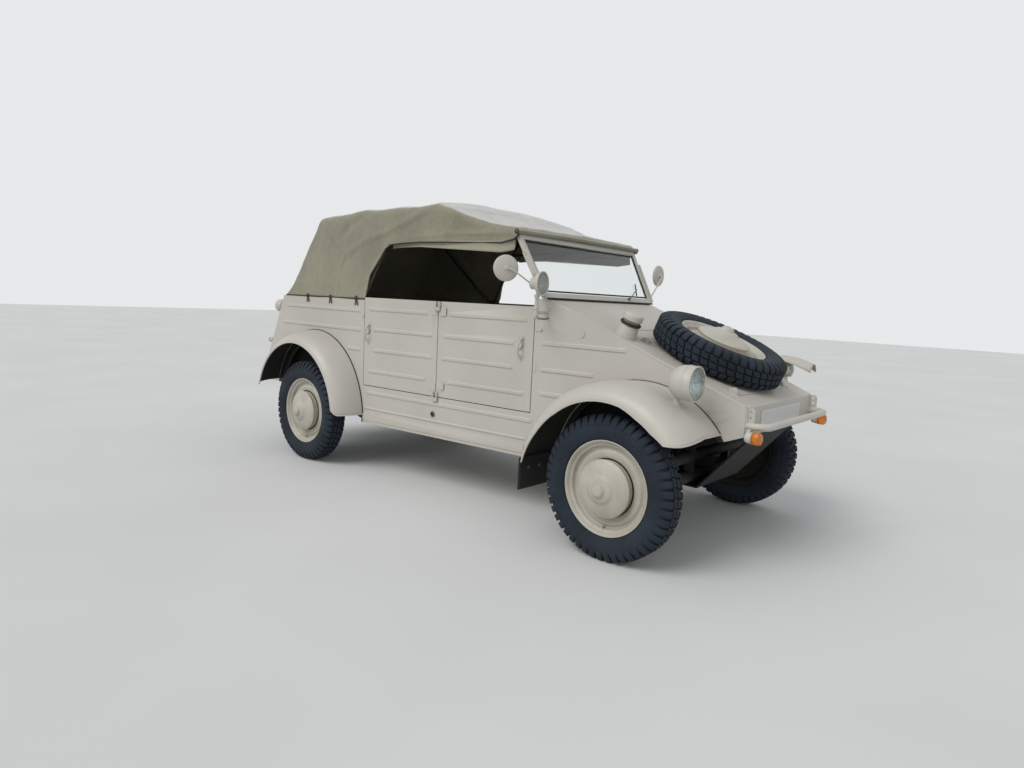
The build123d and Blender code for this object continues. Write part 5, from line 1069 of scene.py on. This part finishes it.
def make_signals():
    """Indicators under the front bumper, round tail pods and tail stubs, all turned about X."""
    x, y, z = front = (NOSE_X + 0.012, -0.418, 0.602)
    tail_y = 0.045 - TAIL_HALF
    stub, pod = (tail_x(0.743), tail_y, 0.743), (tail_x(1.003), tail_y, 1.003)
    base = revolved([(0, 0), (0, 19), (6, 22.5), (22, 23.8), (28, 26.2), (30, 26.2),
                     (30, 0)], front, turns=40, corner=2)
    bracket = slab(rectangle(-0.007, 0.007, -0.006, 0.024), 0.013, 0.034, Matrix.Translation((x + 0.010, y, z)),
                   0.001)
    front_lens = revolved([(30, 0), (30, 26.8), (56, 27.2), (66, 22.5), (69.5, 10),
                           (70, 0)], front, turns=40, corner=6, steps=5)
    stub_case = revolved([(10, 0), (10, 8.8), (-60, 8.8), (-62, 19), (-88, 19.5),
                          (-90, 0)], stub, turns=32, corner=3, steps=3)
    stub_lens = revolved([(-90, 0), (-90, 18.8), (-106, 18), (-110, 8), (-110, 0)], stub, turns=32, corner=3)
    pod_case = revolved([(10, 0), (10, 13.5), (-30, 14), (-40, 38), (-60, 44.5),
                         (-94, 45.5), (-100, 43), (-97, 40), (-97, 0)], pod, corner=4)
    pod_lens = revolved([(-96, 0), (-96, 38.5), (-106, 34), (-111.5, 12), (-112, 0)], pod, corner=4)
    piece("indicator_bases", on_both_sides([base, bracket]), silver, replaces=["signal_lamps"])
    piece("indicator_lenses", on_both_sides([front_lens, stub_lens]), amber)
    piece("tail_pods", on_both_sides([stub_case, pod_case]), paint)
    piece("tail_lenses", on_both_sides([pod_lens]), red)


def make_mudflaps():
    """Rubber flaps behind the front wheels, bowed ahead by half a sine across that grows downwards, with a
    row of bolts."""
    low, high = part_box("mudflaps")
    u, v = np.linspace(0, 1, 20)[:, None], np.linspace(0, 1, 14)[None]
    x = low.x + 0.0035 + 0.002 * np.sin(pi * v) * u
    y, z = -FLAP_INNER - (high.y - FLAP_INNER) * v + 0 * u, low.z + (high.z - low.z) * (1 - u) + 0 * v
    flap = grid(np.stack([x, y, z], -1))
    bolts = [slab(hexagon(0.008), -0.002, 0.004,
                  basis((high.x - 0.0005, -y, high.z - 0.055), (0, 1, 0), (1, 0, 0)), 0.001)
             for y in (0.56, 0.64, 0.72)]
    piece("mudflap_dressed_right", flap, black_rubber, replaces=["mudflaps"], thick=0.004)
    piece("mudflap_dressed_left", mirrored(flap), black_rubber, thick=0.004)
    piece("mudflap_bolts", on_both_sides(bolts), steel)


def on_screen(share, y, ahead):
    """Point on the windscreen's plane: share of the way up, y across as a share of its half width."""
    half = SCREEN_HALF + (SCREEN_TOP_HALF - SCREEN_HALF) * share
    lean = atan2(SCREEN_LEAN, SCREEN_TOP_Z - SCREEN_Z)
    return np.array((SCREEN_X - SCREEN_LEAN * share + ahead * cos(lean), y * half,
                     SCREEN_Z + (SCREEN_TOP_Z - SCREEN_Z) * share + ahead * sin(lean)))


def make_screen_stays():
    """Stays with knobs outside the windscreen's posts."""
    stays = []
    for side in (-1, 1):
        low, high = on_screen(0.02, side, 0.004), on_screen(0.74, side, 0.004)
        run, out = Vector(high - low), Vector((0, side, 0))
        place = basis(low, run, out - run * (out.dot(run) / run.length_squared))
        stays.append(slab(rectangle(0.0, run.length, -0.020, 0.016, 0.010), 0.0008, 0.0050, place, 0.001))
        stays += [slab(hexagon(0.0055, share * run.length), 0.005, 0.0085, place) for share in (0.06, 0.5, 0.94)]
    piece("screen_stays", joined(stays), paint)


def make_screen_trim():
    """The windscreen's black seals and the wiper, as pipes on lines in its plane."""
    corners = [on_screen(share, across_share, 0.0045) for share, across_share in (
        (0.115, 0), (0.115, -0.935), (0.895, -0.940), (0.895, 0.940), (0.115, 0.935), (0.115, 0))]
    foot = [(SCREEN_X + 0.013, side * SCREEN_HALF * 0.99, SCREEN_Z + 0.003) for side in (-1, 0, 1)]
    seals = [pipe(rounded(corners, 0.008, 5), 0.0042, 8, flat=0.7), pipe(foot, 0.0045, 8)]
    piece("screen_seals", joined(seals), black_rubber)
    pivot, elbow, tip = on_screen(0.05, 0.50, 0.016), on_screen(0.07, 0.53, 0.024), on_screen(0.24, 0.74, 0.018)
    arm = pipe(rounded([pivot, elbow, tip], 0.01, 5), 0.0030, 8)
    blade = pipe([on_screen(0.13, 0.71, 0.010), on_screen(0.35, 0.77, 0.010)], 0.0035, 8)
    boss = revolved([(-14, 0), (-14, 8), (4, 8), (6, 0)], pivot, (1, 0, 0.55), 16)
    piece("wiper_arm", joined([arm, boss]), steel)
    piece("wiper_blade", blade, black_rubber)


def make_edge_beads():
    """Flat pipes along the hood's outer line, a little inside the body's half width, and round ones up the
    nose's corners."""
    x = np.concatenate([np.linspace(a, b, 8) for a, b in zip(HOOD_X[1:-1], HOOD_X[2:])])
    x = np.unique(x.clip(SCREEN_X + 0.022, NOSE_X - 0.006))
    line = np.column_stack([x, 0.0145 - half_width(x), np.interp(x, HOOD_X, HOOD_Z) + 0.0005])
    corner = [(NOSE_X + 0.0005, 0.010 - NOSE_HALF, z) for z in (0.604, 0.66, 0.716)]
    beads = [pipe(line, 0.0135, 12, flat=0.26, up=UP), pipe(corner, 0.006, 10)]
    piece("hood_edge_beads", on_both_sides(beads), paint)


def make_door_trim():
    """Flush hinge plates beside the gap between the doors, and the ringed hole in the sill."""
    gap = (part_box("door_front_right")[0].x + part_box("door_rear_right")[1].x) / 2
    place = basis((0, -float(half_width(gap)) + 0.0006, 0), (1, 0, 0), (0, -1, 0))
    for door, near, far in (("front", 0.010, 0.064), ("rear", -0.066, -0.012)):
        plates = joined([slab(rectangle(gap + near, gap + far, low, high, 0.003), 0, 0.0026, place, 0.0008)
                         for low, high in ((1.017, 1.064), (0.600, 0.640))])
        piece(f"hinge_plates_{door}_right", plates, paint, f"door_{door}_right")
        piece(f"hinge_plates_{door}_left", mirrored(plates), paint, f"door_{door}_left")
    at = (-0.003, -float(half_width(-0.003)), 0.448)
    ring = revolved([(-1, 11.8), (3.2, 12.2), (4.2, 14.5), (3.2, 17), (-1, 17.6)], at, (0, -1, 0), 40)
    dark = revolved([(-1, 0), (-1, 12.2), (1.2, 12.2), (1.2, 0)], at, (0, -1, 0), 32)
    piece("sill_rings", on_both_sides([ring]), steel)
    piece("sill_hole_shade", on_both_sides([dark]), black_rubber)


# Stage

def make_floor():
    """Plain pale floor."""
    reach = 30.0
    floor = mesh_object("floor", [(-reach, -reach, 0), (reach, -reach, 0), (reach, reach, 0), (-reach, reach, 0)],
                        [(0, 1, 2, 3)])
    made, n, place = new_material("floor")
    tone = n.mix(n.span(n.noise(place, 0.6, 3.0), 0.3, 0.7), (0.60, 0.60, 0.585, 1), (0.635, 0.635, 0.62, 1))
    n.surface({"Base Color": tone, "Roughness": 0.85})
    floor.data.materials.append(made)


def make_light():
    """Soft overcast light: a pale world, a broad sun from high up, behind and to the right, and a weak fill."""
    world = bpy.data.worlds.new("studio")
    bpy.context.scene.world = world
    world.use_nodes = True
    n = Nodes(world.node_tree)
    rays = n.add("LightPath").outputs
    seen = n.math("MAXIMUM", rays["Is Camera Ray"], rays["Is Transmission Ray"])
    soft = n.add("Background", {"Color": (0.93, 0.96, 1.0, 1), "Strength": 0.62})
    shown = n.add("Background", {"Color": (0.80, 0.81, 0.82, 1), "Strength": 1.0})
    both = n.add("MixShader", {0: seen, 1: soft.outputs[0], 2: shown.outputs[0]})
    n.add("OutputWorld", {"Surface": both.outputs[0]})
    for name, energy, angle, direction in (("key", 1.60, 35, (0.18, 0.85, -0.90)),
                                           ("fill", 0.22, 70, (-1, 0.25, -0.5))):
        lamp = bpy.data.lights.new(name, "SUN")
        lamp.energy, lamp.angle = energy, radians(angle)
        made = bpy.data.objects.new(name, lamp)
        made.rotation_euler = Vector(direction).to_track_quat("-Z", "Y").to_euler()
        bpy.context.scene.collection.objects.link(made)


# Camera solved from the photograph, for a sensor 36 mm wide
CAMERA_AT, CAMERA_LENS = (2.889, -3.178, 1.125), 23.87
CAMERA_YAW, CAMERA_PITCH, CAMERA_ROLL = 0.720, 0.123, 0.049


def make_camera():
    """Camera at the photograph's viewpoint: yaw about Z from -Y, pitch down, then roll."""
    a, e, r = CAMERA_YAW, CAMERA_PITCH, CAMERA_ROLL
    back = Vector((sin(a) * cos(e), -cos(a) * cos(e), sin(e)))
    right = (-back).cross(Vector(UP)).normalized()
    lens = bpy.data.cameras.new("camera")
    lens.lens, lens.sensor_width, lens.sensor_fit = CAMERA_LENS, 36.0, "HORIZONTAL"
    made = bpy.data.objects.new("camera", lens)
    made.matrix_world = basis(CAMERA_AT, right * cos(r) + right.cross(-back) * sin(r), back)
    bpy.context.scene.collection.objects.link(made)
    bpy.context.scene.camera = made
    bpy.context.scene.view_settings.view_transform = "Standard"


for make in (make_camera, make_floor, make_light, dress_kept_nodes, make_wheels, make_fenders, make_canvas,
             make_canvas_fittings, make_screen_stays, make_screen_trim, make_edge_beads, make_door_trim,
             make_seats, make_headlamp, make_driving_lamp, make_mirrors, make_searchlight, make_filler,
             make_signals, make_mudflaps):
    make()
